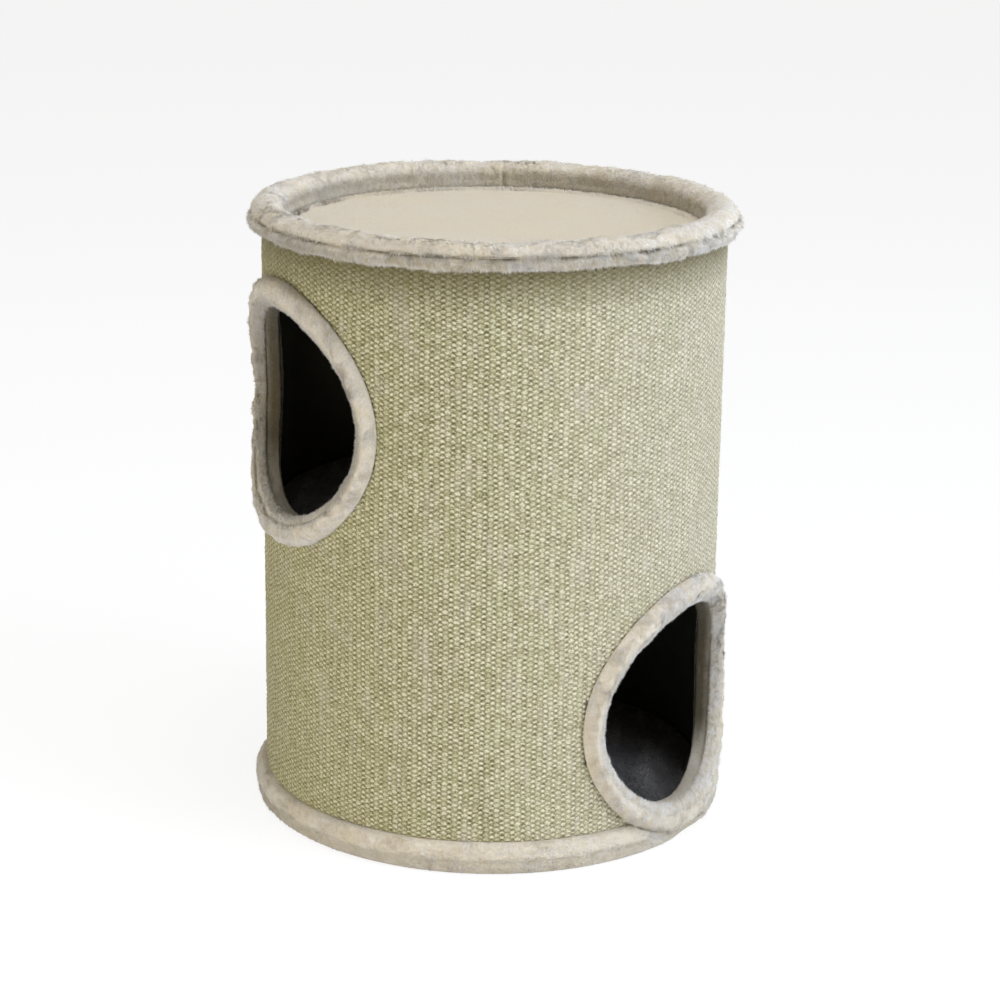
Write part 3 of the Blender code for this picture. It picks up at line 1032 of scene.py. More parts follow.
@dataclass(frozen=True)
class Foam:
    """Open-cell foam, pale yellow with fine pores."""

    name: str = "open_foam"
    pore: Colour = screen(176, 160, 112)
    colour: Colour = screen(232, 222, 176)

    def make(self) -> Material:
        """Builds the material.

        Returns:
            The finish, ready for a piece.
        """
        nodes = Surface(self.name)
        pores = nodes.flow("TexVoronoi", {"Vector": nodes.object, "Scale": 1400}, "Distance")
        nodes.dress({
            "Base Color": nodes.ramp(pores, (0.1, self.pore), (0.5, self.colour)),
            "Roughness": 0.9, "Subsurface Weight": 0.1, "Subsurface Scale": 0.003,
        })
        nodes.bump(pores, 0.0005)
        return nodes.material


@dataclass(frozen=True)
class Zinc:
    """Bright zinc plate with fine brushing and duller spots."""

    name: str = "zinc_plate"
    colour: Colour = screen(196, 198, 202)
    dull: Colour = screen(150, 150, 146)

    def make(self) -> Material:
        """Builds the material.

        Returns:
            The finish, ready for a piece.
        """
        nodes = Surface(self.name)
        brushed = nodes.noise(nodes.stretched(nodes.object, (1, 1, 12)), 500, 2)
        spots = nodes.noise(nodes.object, 180, 3).between(0.45, 0.7)
        nodes.dress({
            "Base Color": nodes.mix(spots, self.colour, self.dull),
            "Metallic": 1.0, "Roughness": brushed * 0.25 + 0.25,
        })
        nodes.bump(brushed, 0.00005)
        return nodes.material


@dataclass
class Finishes:
    """All finishes of the scratcher, each built once."""

    edging: Material = field(init=False)
    tray: Material = field(init=False)
    floor: Material = field(init=False)
    sisal: Material = field(init=False)
    felt: Material = field(init=False)
    board: Material = field(init=False)
    chips: Material = field(init=False)
    foam: Material = field(init=False)
    zinc: Material = field(init=False)

    def __post_init__(self) -> None:
        """Builds the materials."""
        self.edging = Plush(
            "edging_plush", light=screen(251, 246, 237), cool=screen(250, 250, 253),
            root=screen(209, 193, 163), mottle=0.24,
        ).make()
        self.tray = Plush(
            "tray_plush", light=screen(231, 218, 195), cool=screen(229, 221, 207),
            root=screen(223, 210, 187), sheen=0.15, cloud=14.0,
        ).make()
        self.floor = Plush(
            "floor_plush", light=screen(118, 116, 114), cool=screen(98, 95, 98),
            root=screen(60, 58, 58), sheen=0.2, cloud=30.0, streaked=True,
        ).make()
        self.sisal = Sisal().make()
        self.felt = Felt().make()
        self.board = WoundBoard().make()
        self.chips = ParticleBoard().make()
        self.foam = Foam().make()
        self.zinc = Zinc().make()


class Slot(Enum):
    """The record's material slots, by name."""

    EDGING = "edging_plush"
    TRAY = "tray_plush"
    FLOOR = "floor_plush"
    SISAL = "sisal"
    LINING = "lining"
    FOAM = "foam"
    STEEL = "screw_steel"


def add_piece(
    name: str, faces: Faces, material: Material, slot: Slot, *nodes: str
) -> bpy.types.Object:
    """Makes a piece that rides on the scratcher's one body.

    Args:
        name: The piece's name.
        faces: Its mesh in the making.
        material: Its finish.
        slot: The record's slot of that finish; not used.
        nodes: The nodes of the frame that it stands for, if any.

    Returns:
        The new object.
    """
    piece = bpy.data.objects.new(name, faces.mesh(name))
    piece.data.materials.append(material)
    bpy.context.scene.collection.objects.link(piece)
    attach(piece, "root")
    if nodes:
        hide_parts(*nodes)
    triangles = int((faces.counts - 2).sum())
    LOG.info("%s: %d triangles", name, triangles)
    return piece


def lumps(skin: Skin, coarse: float, fine: float, seed: int, crease: float = 0.0) -> Array:
    """How far a stuffed plush swells and dips: soft noise in patches of 34, 13 and 5 mm.

    The size of another noise, without its sign, makes round puffs of 20 mm with creases between.

    Args:
        skin: The surface.
        coarse: Depth of the large swells.
        fine: Depth of the small ones.
        seed: A whole number that picks the pattern.
        crease: Depth of the creases between the puffs.

    Returns:
        The rise of each point.
    """
    return (
        coarse * lattice_noise(skin.points, 0.034, seed)
        + 0.6 * coarse * lattice_noise(skin.points, 0.013, seed + 1)
        + fine * lattice_noise(skin.points, 0.005, seed + 2)
        + crease * (np.abs(lattice_noise(skin.points, 0.020, seed + 3)) - 0.35)
    )


def patches(skin: Skin, cell: float, seed: int) -> Array:
    """Where tufts stand together: a soft step of noise, from 0 to 1 at each point."""
    return ease(-0.1, 0.5, lattice_noise(skin.points, cell, seed))


def add_plush(
    name: str, skin: Skin, piles: list[tuple[Pile, Array | None]], material: Material,
    slot: Slot, nodes: tuple[str, ...], painted_shade: Callable[[Array], Array] | None = None,
) -> tuple[bpy.types.Object, list[bpy.types.Object]]:
    """Makes a plush cover: its skin, and its pile in as many pieces as its size asks for.

    Args:
        name: The skin's name.
        skin: The surface.
        piles: Pairs of a pile and how much thicker than usual it stands at each point, or None.
        material: The plush's finish.
        slot: The record's slot of that finish.
        nodes: The nodes that the skin stands for.
        painted_shade: Tells from 0 to 1 how much painted shade a point takes, or None.

    Returns:
        The skin, and the pieces of the pile.
    """
    faces = skin_faces(skin)
    faces.extra["shade"] = np.full(len(faces.points), 0.5)
    if painted_shade:
        faces.extra["painted_shade"] = painted_shade(faces.points)
    cover = add_piece(name, faces, material, slot, *nodes)
    shares = []
    for pile, thick in piles:
        hair = pile.grow(skin, thick)
        if painted_shade:
            hair.extra["painted_shade"] = painted_shade(hair.points)
        shares += split(hair, math.ceil(len(hair.counts) / 190_000))
    locks = [
        add_piece(f"{name}_pile_{number}", share, material, slot)
        for number, share in enumerate(shares, 1)
    ]
    return cover, locks


@dataclass
class Rim:
    """The plush rim round the tray, sewn along its outer side, over a foam ring."""

    outer: float = 0.1950
    inner: float = 0.1680
    crown: float = 0.0105
    corner: float = 0.0038
    cloth: float = 0.0027
    seam_depth: float = 0.0038
    seam_width: float = 0.0013
    band_bulge: float = 0.0011
    join_turn: float = 90.0
    pile_room: float = 0.0007
    band_drop: float = 0.0040
    join_depth: float = 0.0016
    pile: Pile = replace(NAP, nap=(0.35, -1.0), seed=21)
    inside_pile: Pile = replace(NAP, nap=(0.5, 1.0), seed=23)
    fringe: Pile = replace(
        TUFT, density=1.9, length=0.0046, width=0.0008, nap=(0.12, -1.0), swirl=0.6, seed=25, lock=0.28
    )
    tuft: Pile = replace(TUFT, nap=(0.5, -1.0), seed=27)
    strays: Pile = replace(
        TUFT, density=2.4, length=0.0056, width=0.0008, lean=0.78, nap=(0.15, -1.0), swirl=1.1,
        seed=29, lock=0.30,
    )

    def outline(self, inset: float) -> Array:
        """The line from the outer lip over the crest to the inner lip.

        Args:
            inset: How far inside the plush's face the line runs.

        Returns:
            Points of (radius, height).
        """
        outer, inner, corner = self.outer - inset, self.inner + inset, self.corner - inset
        middle, half = (outer + inner) / 2, (outer - inner) / 2
        spring = CREST - self.crown
        low, low_inside = RIM_BOTTOM + inset, RIM_INSIDE_BOTTOM + inset
        return line(
            (TUBE_FACE, low),
            arc((outer - corner, low + corner), (corner, corner), -90, 0),
            arc((middle, spring), (half, self.crown - inset), 0, 180),
            arc((inner + corner, low_inside + corner), (corner, corner), 180, 270),
            (INSIDE_R, low_inside),
        )

    def build(self, finishes: Finishes) -> None:
        """Builds the plush, its pile and the foam under it.

        Args:
            finishes: The scratcher's materials.
        """
        skin = Skin.turned(Section(self.outline(0), self.outline(self.cloth)[::-1]))
        x, y, z = (skin.points[..., k] for k in range(3))
        radius = from_axis(skin.points)
        outside = ease(self.outer - 0.006, self.outer - 0.003, radius)
        inside = ease(self.inner + 0.012, self.inner + 0.004, radius)
        lip = ease(CREST - 0.014, CREST - 0.020, z) * (1 - outside)
        broken = 0.65 + 0.5 * lattice_noise(skin.points, 0.02, 3)
        seam = self.seam_depth * bell(z - SEAM_HEIGHT, self.seam_width) * outside * broken
        turn = np.degrees(np.arctan2(y, x)) - self.join_turn
        join = self.join_depth * bell(turn, 0.55) * inside
        bulge = self.band_bulge * bell(z - SEAM_HEIGHT + self.band_drop, 0.0022) * outside
        soft = (lumps(skin, 0.0012, 0.0006, 37, 0.0012) - self.pile_room) * (1 - lip)
        skin = skin.moved(soft + bulge - seam - join)
        piles = self.piles(skin, z, outside, lip, radius)
        plush, _ = add_plush(
            "rim_plush", skin, piles, finishes.edging, Slot.EDGING, ("rim_cover",), self.painted_shade
        )
        self.build_foam(finishes)

    def piles(
        self, skin: Skin, z: Array, outside: Array, lip: Array, radius: Array
    ) -> list[tuple[Pile, Array]]:
        """Shares the rim out among its piles.

        The nap lies outwards on one side of a wandering line round the crest and inwards on the
        other. The band under the seam has a fringe, tufts stand beside the seam, and a few long
        hairs fall over it.

        Args:
            skin: The plush.
            z: The height of each point before the plush was given its lumps.
            outside: From 0 to 1, how far each point is on the outer side.
            lip: From 0 to 1, how far each point is under the inner lip.
            radius: The distance of each point from the axis.

        Returns:
            Pairs of a pile and how thick it stands at each point.
        """
        band = ease(SEAM_HEIGHT - 0.0009, SEAM_HEIGHT - 0.0018, z) * outside
        off = z - SEAM_HEIGHT
        clear = 1 - outside * ease(self.seam_width * 1.6, self.seam_width * 0.8, np.abs(off))
        beside = bell(off, 0.0045) * outside * clear
        tufts = patches(skin, 0.009, 33) * (0.22 + 0.78 * beside) * (1 - lip)
        over = bell(off - 0.0024, 0.0012) * outside
        stray = over * ease(-0.15, 0.35, lattice_noise(skin.points, 0.011, 41))
        wander = 0.006 * lattice_noise(skin.points, 0.02, 39)
        within = ease(0.004, -0.004, radius - (self.outer + self.inner) / 2 + wander)
        return [
            (self.pile, clear * (1 - band) * (1 - within)), (self.inside_pile, within),
            (self.fringe, band), (self.tuft, tufts * (1 - within)), (self.strays, stray),
        ]

    def painted_shade(self, points: Array) -> Array:
        """Finds how much painted shade a point takes, from 0 to 1.

        It adds painted shade along the seam's crease, which wanders up and down and breaks off here and
        there, on the foot of the inner wall, and on the band below the seam, all of it at the left and in
        gaps between tufts elsewhere.

        Args:
            points: Places on the plush or its pile.

        Returns:
            A number for each place.
        """
        x, z, radius = points[..., 0], points[..., 2], from_axis(points)
        outside = ease(self.outer - 0.007, self.outer - 0.004, radius)
        broken = ease(-0.9, 0.1, lattice_noise(points, 0.010, 35))
        off = z - SEAM_HEIGHT - 0.0007 * lattice_noise(points, 0.012, 34)
        seam = 0.70 * bell(off, 0.0010) * outside * broken
        wall = ease(self.inner + 0.009, self.inner + 0.003, radius) * ease(CREST - 0.002, CREST - 0.012, z)
        wall = wall * (0.28 + 0.10 * ease(0.0, -0.15, x))
        left = 0.42 * ease(-0.03, -0.17, x) * ease(SEAM_HEIGHT - 0.0010, RIM_BOTTOM + 0.0025, z)
        gaps = 0.36 * ease(0.05, 0.5, lattice_noise(points, 0.0055, 44))
        gaps = gaps * ease(SEAM_HEIGHT + 0.0036, SEAM_HEIGHT - 0.0010, z)
        return seam + wall + np.maximum(left, gaps) * outside

    def build_foam(self, finishes: Finishes) -> None:
        """Builds the foam ring astride the tube's top edge.

        Args:
            finishes: The scratcher's materials.
        """
        over = CREST - 0.0097
        slot = line((INSIDE_R, over), (TUBE_FACE, over))
        section = Section(self.outline(self.cloth + 0.0004), slot, 0.004, 0.004)
        skin = Skin.turned(section, 0.006)
        foam = add_piece("rim_padding", skin_faces(skin), finishes.foam, Slot.FOAM, "rim_foam")


@dataclass
class Base:
    """The plush round the foot of the drum, turned in below as a hem, over a foam strip."""

    outer: float = 0.1947
    shoulder: tuple[float, float] = (0.0070, 0.0080)
    toe: tuple[float, float] = (0.0050, 0.0095)
    hem_inner: float = 0.1565
    cloth: float = 0.0027
    scoop_reach: float = 0.1078
    pile_room: float = 0.0007
    plush_seat: float = 0.1866
    foam_seat: float = 0.1838
    ridge: float = 0.0011
    ridge_height: float = 0.0150
    dent: float = 0.0010
    dent_height: float = 0.0098
    staples: int = 24
    staple_ring: float = 0.166
    pile: Pile = replace(
        NAP, density=0.88, length=0.0021, width=0.00105, lean=0.82, nap=(1.0, -0.6), swirl=1.0, seed=41
    )
    tuft: Pile = replace(
        TUFT, density=0.9, length=0.0032, lean=0.82, nap=(1.0, -0.4), seed=45, lock=0.34
    )

    def outline(self, inset: float, inner_end: float) -> Array:
        """The line from the hem round the toe to the top lip.

        Args:
            inset: How far inside the plush's face the line runs.
            inner_end: The radius at which it starts below.

        Returns:
            Points of (radius, height).
        """
        outer, top = self.outer - inset, BASE_TOP - inset
        shoulder = (self.shoulder[0] - inset, self.shoulder[1] - inset)
        toe = (self.toe[0] - inset, self.toe[1] - inset)
        return line(
            (inner_end, inset),
            arc((outer - toe[0], inset + toe[1]), toe, -90, 0),
            arc((outer - shoulder[0], top - shoulder[1]), shoulder, 0, 90),
            (TUBE_FACE, top),
        )

    def scooped(self, skin: Skin, seat: float) -> Skin:
        """Draws the plush in where the lower entrance's roll lies on it.

        A point nearer than the scoop's reach to the opening's axis sinks to the drum radius seat,
        with a rounded shoulder of 5 mm beside it.

        Args:
            skin: The base's surface.
            seat: Drum radius of the bottom of the scoop.

        Returns:
            The surface with its scoop.
        """
        x, y, z = (skin.points[..., k] for k in range(3))
        across, out = Side.LOWER.local(skin.points)
        bore = np.hypot(across, z - Side.LOWER.height)
        inside = ease(self.scoop_reach + 0.005, self.scoop_reach, bore) * (out > 0)
        radius = from_axis(skin.points)
        drawn = np.minimum(radius, seat)
        share = np.where(radius > 0, (radius + (drawn - radius) * inside) / radius, 1)
        points = np.stack([x * share, y * share, z], axis=-1)
        return Skin(points, skin.shown, skin.poles, skin.strips)

    def build(self, finishes: Finishes) -> None:
        """Builds the plush, its pile, the foam strip and the staples of the hem.

        Args:
            finishes: The scratcher's materials.
        """
        shown = self.outline(0, self.hem_inner)
        section = Section(shown, self.outline(self.cloth, self.hem_inner)[::-1], 0.0020)
        skin = Skin.turned(section)
        level = ease(0.001, 0.006, skin.points[..., 2])
        height = self.wavy_height(skin.points)
        fold = self.ridge * bell(height - self.ridge_height, 0.0024)
        fold = fold - self.dent * bell(height - self.dent_height, 0.0022)
        rise = (lumps(skin, 0.0009, 0.0005, 50, 0.0007) + fold - self.pile_room) * level
        skin = self.scooped(skin.moved(rise), self.plush_seat)
        above = ease(0.0002, 0.003, skin.points[..., 2])
        piles = [(self.pile, above), (self.tuft, 0.6 * patches(skin, 0.010, 43) * above)]
        plush, _ = add_plush(
            "base_plush", skin, piles, finishes.edging, Slot.EDGING, ("base_cover",), self.painted_shade
        )
        inset = self.cloth + 0.0004
        back = line((TUBE_FACE, BASE_TOP - inset), (TUBE_FACE, inset))
        strip = Skin.turned(Section(self.outline(inset, TUBE_FACE), back, 0.003, 0.006), 0.006)
        strip = self.scooped(strip, self.foam_seat)
        foam = add_piece("base_padding", skin_faces(strip), finishes.foam, Slot.FOAM, "base_foam")
        self.build_staples(finishes)

    @staticmethod
    def wavy_height(points: Array) -> Array:
        """The height of points, made to wander so that the ridge isn't a straight ring."""
        return points[..., 2] + 0.0015 * lattice_noise(points, 0.025, 52)

    def painted_shade(self, points: Array) -> Array:
        """Finds how far below the ridge, where the plush turns from the light, a point lies."""
        low = self.ridge_height - 0.0042
        return 0.19 * ease(low + 0.0030, low, self.wavy_height(points))

    def build_staples(self, finishes: Finishes) -> None:
        """Builds the staples that hold the hem: 10 mm crowns, pressed into the plush underneath.

        Each is a bar with eight corners, the crown's half sizes times every mix of signs.

        Args:
            finishes: The scratcher's materials.
        """
        count = self.staples
        signs = np.array([(x, y, z) for x in (-1, 1) for y in (-1, 1) for z in (-1, 1)])
        bar = signs * np.array([0.0005, 0.005, 0.0003]) + np.array([self.staple_ring, 0, 0.0005])
        angle = 2 * math.pi * (np.arange(count) + 0.5)[:, None] / count
        x = bar[:, 0] * np.cos(angle) - bar[:, 1] * np.sin(angle)
        y = bar[:, 0] * np.sin(angle) + bar[:, 1] * np.cos(angle)
        points = np.stack([x, y, bar[:, 2] + 0 * angle], axis=-1).reshape(-1, 3)
        sides = np.array(
            [[0, 1, 3, 2], [4, 6, 7, 5], [0, 4, 5, 1], [2, 3, 7, 6], [0, 2, 6, 4], [1, 5, 7, 3]]
        )
        index = (8 * np.arange(count)[:, None, None] + sides[None]).ravel()
        places = np.tile([[0, 0], [1, 0], [1, 1], [0, 1]], (6 * count, 1)) * 0.9 + 0.05
        faces = Faces(points, index, np.full(6 * count, 4), places)
        staples = add_piece("hem_staples", faces, finishes.zinc, Slot.STEEL)
        staples.data.shade_flat()


@dataclass(frozen=True)
class Shading:
    """How an entrance's plush darkens inwards with painted shade, and how its floor side lights up again.
    """

    slope: float
    wall_from: float
    lit: float
    crease: float


SHADING = {
    Side.UPPER: Shading(slope=0.40, wall_from=0.1935, lit=0.55, crease=1.0),
    Side.LOWER: Shading(slope=0.07, wall_from=0.1885, lit=0.90, crease=0.35),
}


@dataclass
class Entrance:
    """One round entrance: a padded roll outside, and a plush strip through the wall's cut edge."""

    side: Side
    clear: float = 0.0840
    strip: float = 0.0032
    tube_cut: float = 0.0875
    roll_width: float = ROLL_WIDTH
    roll_height: float = 0.0093
    cloth: float = 0.0027
    lip: float = 0.1858
    lap: float = 0.1842
    lap_bore: float = 0.0832
    crease_at: float = 0.1934
    inside: float = STRIP_FACE
    inside_back: float = 0.1754
    turn_in: float = 0.0080
    strip_width: float = 0.034
    crease_depth: float = 0.0014
    pile_room: float = 0.0006
    seed: int = 60

    @property
    def name(self) -> str:
        """The entrance's name in the frame."""
        return f"{self.side.name.lower()}_entrance"

    def roll_arc(self, inset: float) -> Array:
        """The roll's half round of (bore distance, drum radius), moved in by inset."""
        middle = (self.tube_cut + self.roll_width / 2, ROLL_FOOT)
        return arc(middle, (self.roll_width / 2 - inset, self.roll_height - inset), 0, 180)

    def roll_face(self) -> Array:
        """The roll's line: a quarter round outside, and one inside that laps over the strip's lip.

        Returns:
            Points of (bore distance, drum radius).
        """
        middle = self.tube_cut + self.roll_width / 2
        half, crown = self.roll_width / 2, ROLL_FOOT + self.roll_height
        return line(
            arc((middle, ROLL_FOOT), (half, self.roll_height), 0, 90),
            arc((middle, self.lap), (middle - self.lap_bore, crown - self.lap), 90, 180)[1:],
        )

    def build(self, finishes: Finishes) -> None:
        """Builds the roll, its foam and the strip through the wall.

        Args:
            finishes: The scratcher's materials.
        """
        thin, seat = self.lap_bore + 0.0010, self.lip + 0.0006
        under = line(
            (thin, self.lap), (thin, seat), (self.tube_cut - 0.0003, seat),
            (self.tube_cut - 0.0003, ROLL_FOOT),
        )
        section = Section(self.roll_face(), line(under, self.roll_arc(self.cloth)[::-1]))
        skin = Skin.saddle(section, self.side)
        bore = section.points()[0][None, :, 0]
        calm = 1 - 0.65 * ease(self.tube_cut + 0.0050, self.tube_cut, bore)
        creased = self.fold(skin.points)
        rise = lumps(skin, 0.0012, 0.0007, self.seed, 0.0013) * calm - self.pile_room
        skin = skin.moved(rise - self.crease_depth * creased)
        outward = replace(NAP, nap=(0.6, -1.0), swirl=1.0, seed=self.seed + 3)
        inward = replace(NAP, nap=(0.6, 1.0), swirl=1.0, seed=self.seed + 2)
        tuft = replace(TUFT, density=1.7, nap=(0.4, -0.9), seed=self.seed + 4, lock=0.38)
        over = replace(
            TUFT, density=2.2, length=0.0034, lean=0.72, nap=(0.3, 1.0), swirl=0.8,
            seed=self.seed + 6, lock=0.35, round=0.45,
        )
        inner = ease(self.tube_cut + 0.0050, self.tube_cut + 0.0010, bore)
        tufts = patches(skin, 0.009, self.seed + 5) * (1 - inner)
        wander = 0.005 * lattice_noise(skin.points, 0.02, self.seed + 8)
        within = ease(0.003, -0.003, bore - self.tube_cut - self.roll_width / 2 + wander)
        bare = 1 - 0.95 * np.clip(1.6 * creased, 0, 1)
        piles = [
            (outward, 1 - within), (inward, within * bare), (tuft, tufts), (over, inner * bare),
        ]
        plush, _ = add_plush(
            f"{self.name}_roll_plush", skin, piles, finishes.edging, Slot.EDGING,
            (f"{self.name}_roll",), self.painted_shade,
        )
        inset = self.cloth + 0.0004
        half = self.roll_width / 2 - inset
        middle = self.tube_cut + self.roll_width / 2
        foot = line((middle - half, ROLL_FOOT), (middle + half, ROLL_FOOT))
        core = Skin.saddle(Section(self.roll_arc(inset), foot, 0.003, 0.006), self.side, 0.006)
        foam = add_piece(
            f"{self.name}_padding", skin_faces(core), finishes.foam, Slot.FOAM, f"{self.name}_foam"
        )
        self.build_reveal(finishes)

    def depths(self, points: Array) -> tuple[Array, Array, Array]:
        """Finds where points lie: distance from the bore's axis and the drum's axis, and height."""
        rise, radius = points[..., 2] - self.side.height, from_axis(points)
        across = self.side.local(points)[0] * STRIP_FACE / radius
        return np.hypot(across, rise), radius, rise

    def fold(self, points: Array) -> Array:
        """Finds the crease low in the opening where the roll is tucked in, broken by noise.

        Args:
            points: Places on the roll.

        Returns:
            From 0 to 1, how near each place is to the crease's bottom.
        """
        bore, radius, rise = self.depths(points)
        off = radius - self.crease_at + 0.0005 * lattice_noise(points, 0.012, 40)
        torn = ease(-0.45, 0.15, lattice_noise(points, 0.007, 38)) * ease(0.0925, 0.0905, bore)
        return SHADING[self.side].crease * bell(off, 0.0010) * torn * ease(-0.030, -0.060, rise)

    def painted_shade(self, points: Array) -> Array:
        """Finds the painted shade that grows into the opening, less where the floor side is lit.

        It grows on the roll's inner slope, from the bore distance, and then through the wall, from
        the drum radius. The crease low in the opening takes painted shade too.

        Args:
            points: Places on the roll or the strip.

        Returns:
            A number from 0 to 1 for each place.
        """
        bore, radius, rise = self.depths(points)
        bore = bore + 0.0010 * lattice_noise(points, 0.008, 36)
        shading = SHADING[self.side]
        slope = shading.slope * ease(self.tube_cut + 0.0070, self.tube_cut - 0.0025, bore)
        inside = 0.95 * ease(shading.wall_from, 0.1785, radius) * ease(0.0915, 0.0890, bore)
        lit = shading.lit * ease(-0.040, -0.072, rise)
        return np.maximum(np.maximum(slope, inside) * (1 - lit), 0.8 * self.fold(points))

    def build_reveal(self, finishes: Finishes) -> None:
        """Builds the plush strip: a rounded lip outside, the cut edge, and a flat turn-in inside.

        Args:
            finishes: The scratcher's materials.
        """
        outer, half = self.clear + self.strip, self.strip / 2
        end = outer + self.turn_in
        shown = line(
            (outer, ROLL_FOOT),
            arc((outer - 0.0006, self.lip - 0.0006), (0.0006, 0.0006), 0, 90),
            arc((self.clear + 0.0014, self.lip - 0.0014), (0.0014, 0.0014), 90, 180),
            (self.clear - 0.0004, (self.lip + self.inside) / 2),
            arc((self.clear + half, self.inside + half), (half, half), 180, 270),
            (end, self.inside),
        )
        hidden = line((end, self.inside_back), (outer, self.inside_back))
        skin = Skin.saddle(Section(shown, hidden, 0.0017), self.side)
        skin = skin.moved(lumps(skin, 0.0007, 0.0003, self.seed + 7, 0.0007) - 1.6 * self.pile_room)
        if self.side is Side.LOWER:
            height = skin.points[..., 2]
            low = LOWER_FLOOR_TOP + 0.0004
            indoors = from_axis(skin.points) < INSIDE_R + 0.0006
            skin.points[..., 2] = np.where(indoors, np.maximum(height, low), height)
        pile = replace(
            NAP, density=1.00, length=0.0020, width=0.0009, lean=0.83, nap=(0.9, 0.4), swirl=0.7,
            seed=self.seed + 9, lock=0.18,
        )
        plush, locks = add_plush(
            f"{self.name}_strip_plush", skin, [(pile, None)], finishes.edging, Slot.EDGING,
            (f"{self.name}_reveal",), self.painted_shade,
        )
        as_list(locks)


@dataclass
class Matting:
    """The woven sisal round the drum, in four widths with the seam at the back.

    The relief repeats a pair of columns, one wide and one narrow, whose beads stand half a bead
    apart. A bead is 1 - |2t - 1|^p along each direction, and the line between two columns swings
    from side to side round the beads.
    """

    inner: float = 0.1829
    groove: float = 0.1850
    relief: float = 0.0012
    bottom: float = 0.0249
    top: float = 0.4799
    pairs: int = 143
    rows: int = 110
    wide_share: float = 0.568
    gap_half: float = 0.0005
    cells: int = 5
    row_cells: int = 4
    widths: int = 4
    hidden_bore: float = 0.1042

    def columns(self) -> tuple[Array, Array]:
        """The upright lines of the relief.

        Returns:
            How far round each line stands, from 0 to 1, and which of the five of its pair it is.
        """
        wide, narrow = self.wide_share, 1 - self.wide_share
        offsets = np.array([0, wide / 3, wide * 2 / 3, wide, wide + narrow / 2])
        number = np.arange(self.pairs * self.cells + 1)
        share = (number // self.cells + offsets[number % self.cells]) / self.pairs
        return share, number % self.cells

    def surface(self) -> tuple[Array, Array, Array]:
        """Works out the face of the matting.

        Returns:
            The points of the face, the points behind them on the tube, and the bead count up each
            line of points.
        """
        share, kind = self.columns()
        up = np.arange(self.rows * self.row_cells + 1) / self.row_cells
        beads, _ = np.meshgrid(up, share)
        phase = 2 * math.pi * beads
        narrow = (kind == 4)[:, None]
        bare = (kind % 3 == 0)[:, None]
        along = np.abs(2 * (beads % 1) - 1)
        half_on = np.abs(2 * ((beads + 0.5) % 1) - 1)
        wide_bead = 0.34 + 0.46 * np.maximum(0, 1 - along**2.6) ** 0.8
        narrow_bead = 0.10 + 0.92 * np.maximum(0, 1 - half_on**1.3)
        height = np.where(bare, 0.50, np.where(narrow, narrow_bead, wide_bead))
        around = 2 * math.pi * DRUM_R
        rise = beads * (self.top - self.bottom) / self.rows
        flat = np.stack([share[:, None] * around + 0 * beads, rise, 0 * beads], axis=-1)
        cell = np.floor(np.stack([flat[..., 0] / 0.0041, beads + 0.5 * narrow, 0 * beads], axis=-1))
        luck = lattice_noise(cell * 7.37, 1.0, 5)
        height = height * (1 + 0.45 * luck) + 0.22 * lattice_noise(flat, 0.005, 6)
        edge = np.minimum(beads, self.rows - beads) / 1.5
        height = np.clip(height, 0, 1.15) * np.clip(0.35 + edge, 0, 1)
        swing = np.where(kind == 3, -1.0, 1.0)[:, None] * np.where(bare, 0.00055, 0) * np.cos(phase)
        swing = swing + 0.0008 * lattice_noise(flat, 0.02, 7)
        swing[[0, -1]] = 0
        lift = 0.0009 * lattice_noise(flat * np.array([3.0, 0.35, 1.0]), 0.03, 8)
        lift = lift * np.clip(edge, 0, 1)
        turn = math.pi / 2 + self.gap_half / DRUM_R
        full = 2 * math.pi - 2 * self.gap_half / DRUM_R
        angle = turn + full * share[:, None] + swing / DRUM_R
        z = self.bottom + flat[..., 1] + lift
        radius = self.groove + self.relief * height
        face = np.stack([radius * np.cos(angle), radius * np.sin(angle), z], axis=-1)
        back = np.stack([self.inner * np.cos(angle), self.inner * np.sin(angle), z], axis=-1)
        return face, back, beads

    def kept(self, back: Array) -> Array:
        """Finds the blocks of one pair by one bead that lie clear of both openings.

        A block goes where all four of its corners are hidden under an entrance's roll.

        Args:
            back: The points on the tube.

        Returns:
            True or False for each block, by pair and by row of beads.
        """
        corner = back[:: self.cells, :: self.row_cells]
        keep = np.ones((corner.shape[0] - 1, corner.shape[1] - 1), bool)
        for side in Side:
            across, out = side.local(corner)
            across = across / splay(self.hidden_bore, self.inner)
            near = (np.hypot(across, corner[..., 2] - side.height) < self.hidden_bore) & (out > 0)
            gone = near[:-1, :-1] & near[1:, :-1] & near[1:, 1:] & near[:-1, 1:]
            keep &= ~gone
        return keep

    def build(self, finishes: Finishes) -> None:
        """Builds the four widths of matting.

        Args:
            finishes: The scratcher's materials.
        """
        face, back, beads = self.surface()
        keep = self.kept(back)
        bounds = np.linspace(0, self.pairs, self.widths + 1).round().astype(int)
        for number, (low, high) in enumerate(zip(bounds[:-1], bounds[1:]), 1):
            own = np.zeros_like(keep)
            own[low:high] = keep[low:high]
            faces = self.width_faces(face, back, beads, own)
            panel = add_piece(
                f"sisal_width_{number}", faces, finishes.sisal, Slot.SISAL, "sisal_mat"
            )
            block = 2 * math.pi * DRUM_R / self.pairs * (self.top - self.bottom) / self.rows
            around = (high - low) * 2 * math.pi * DRUM_R / self.pairs
            float(own.sum() * block)

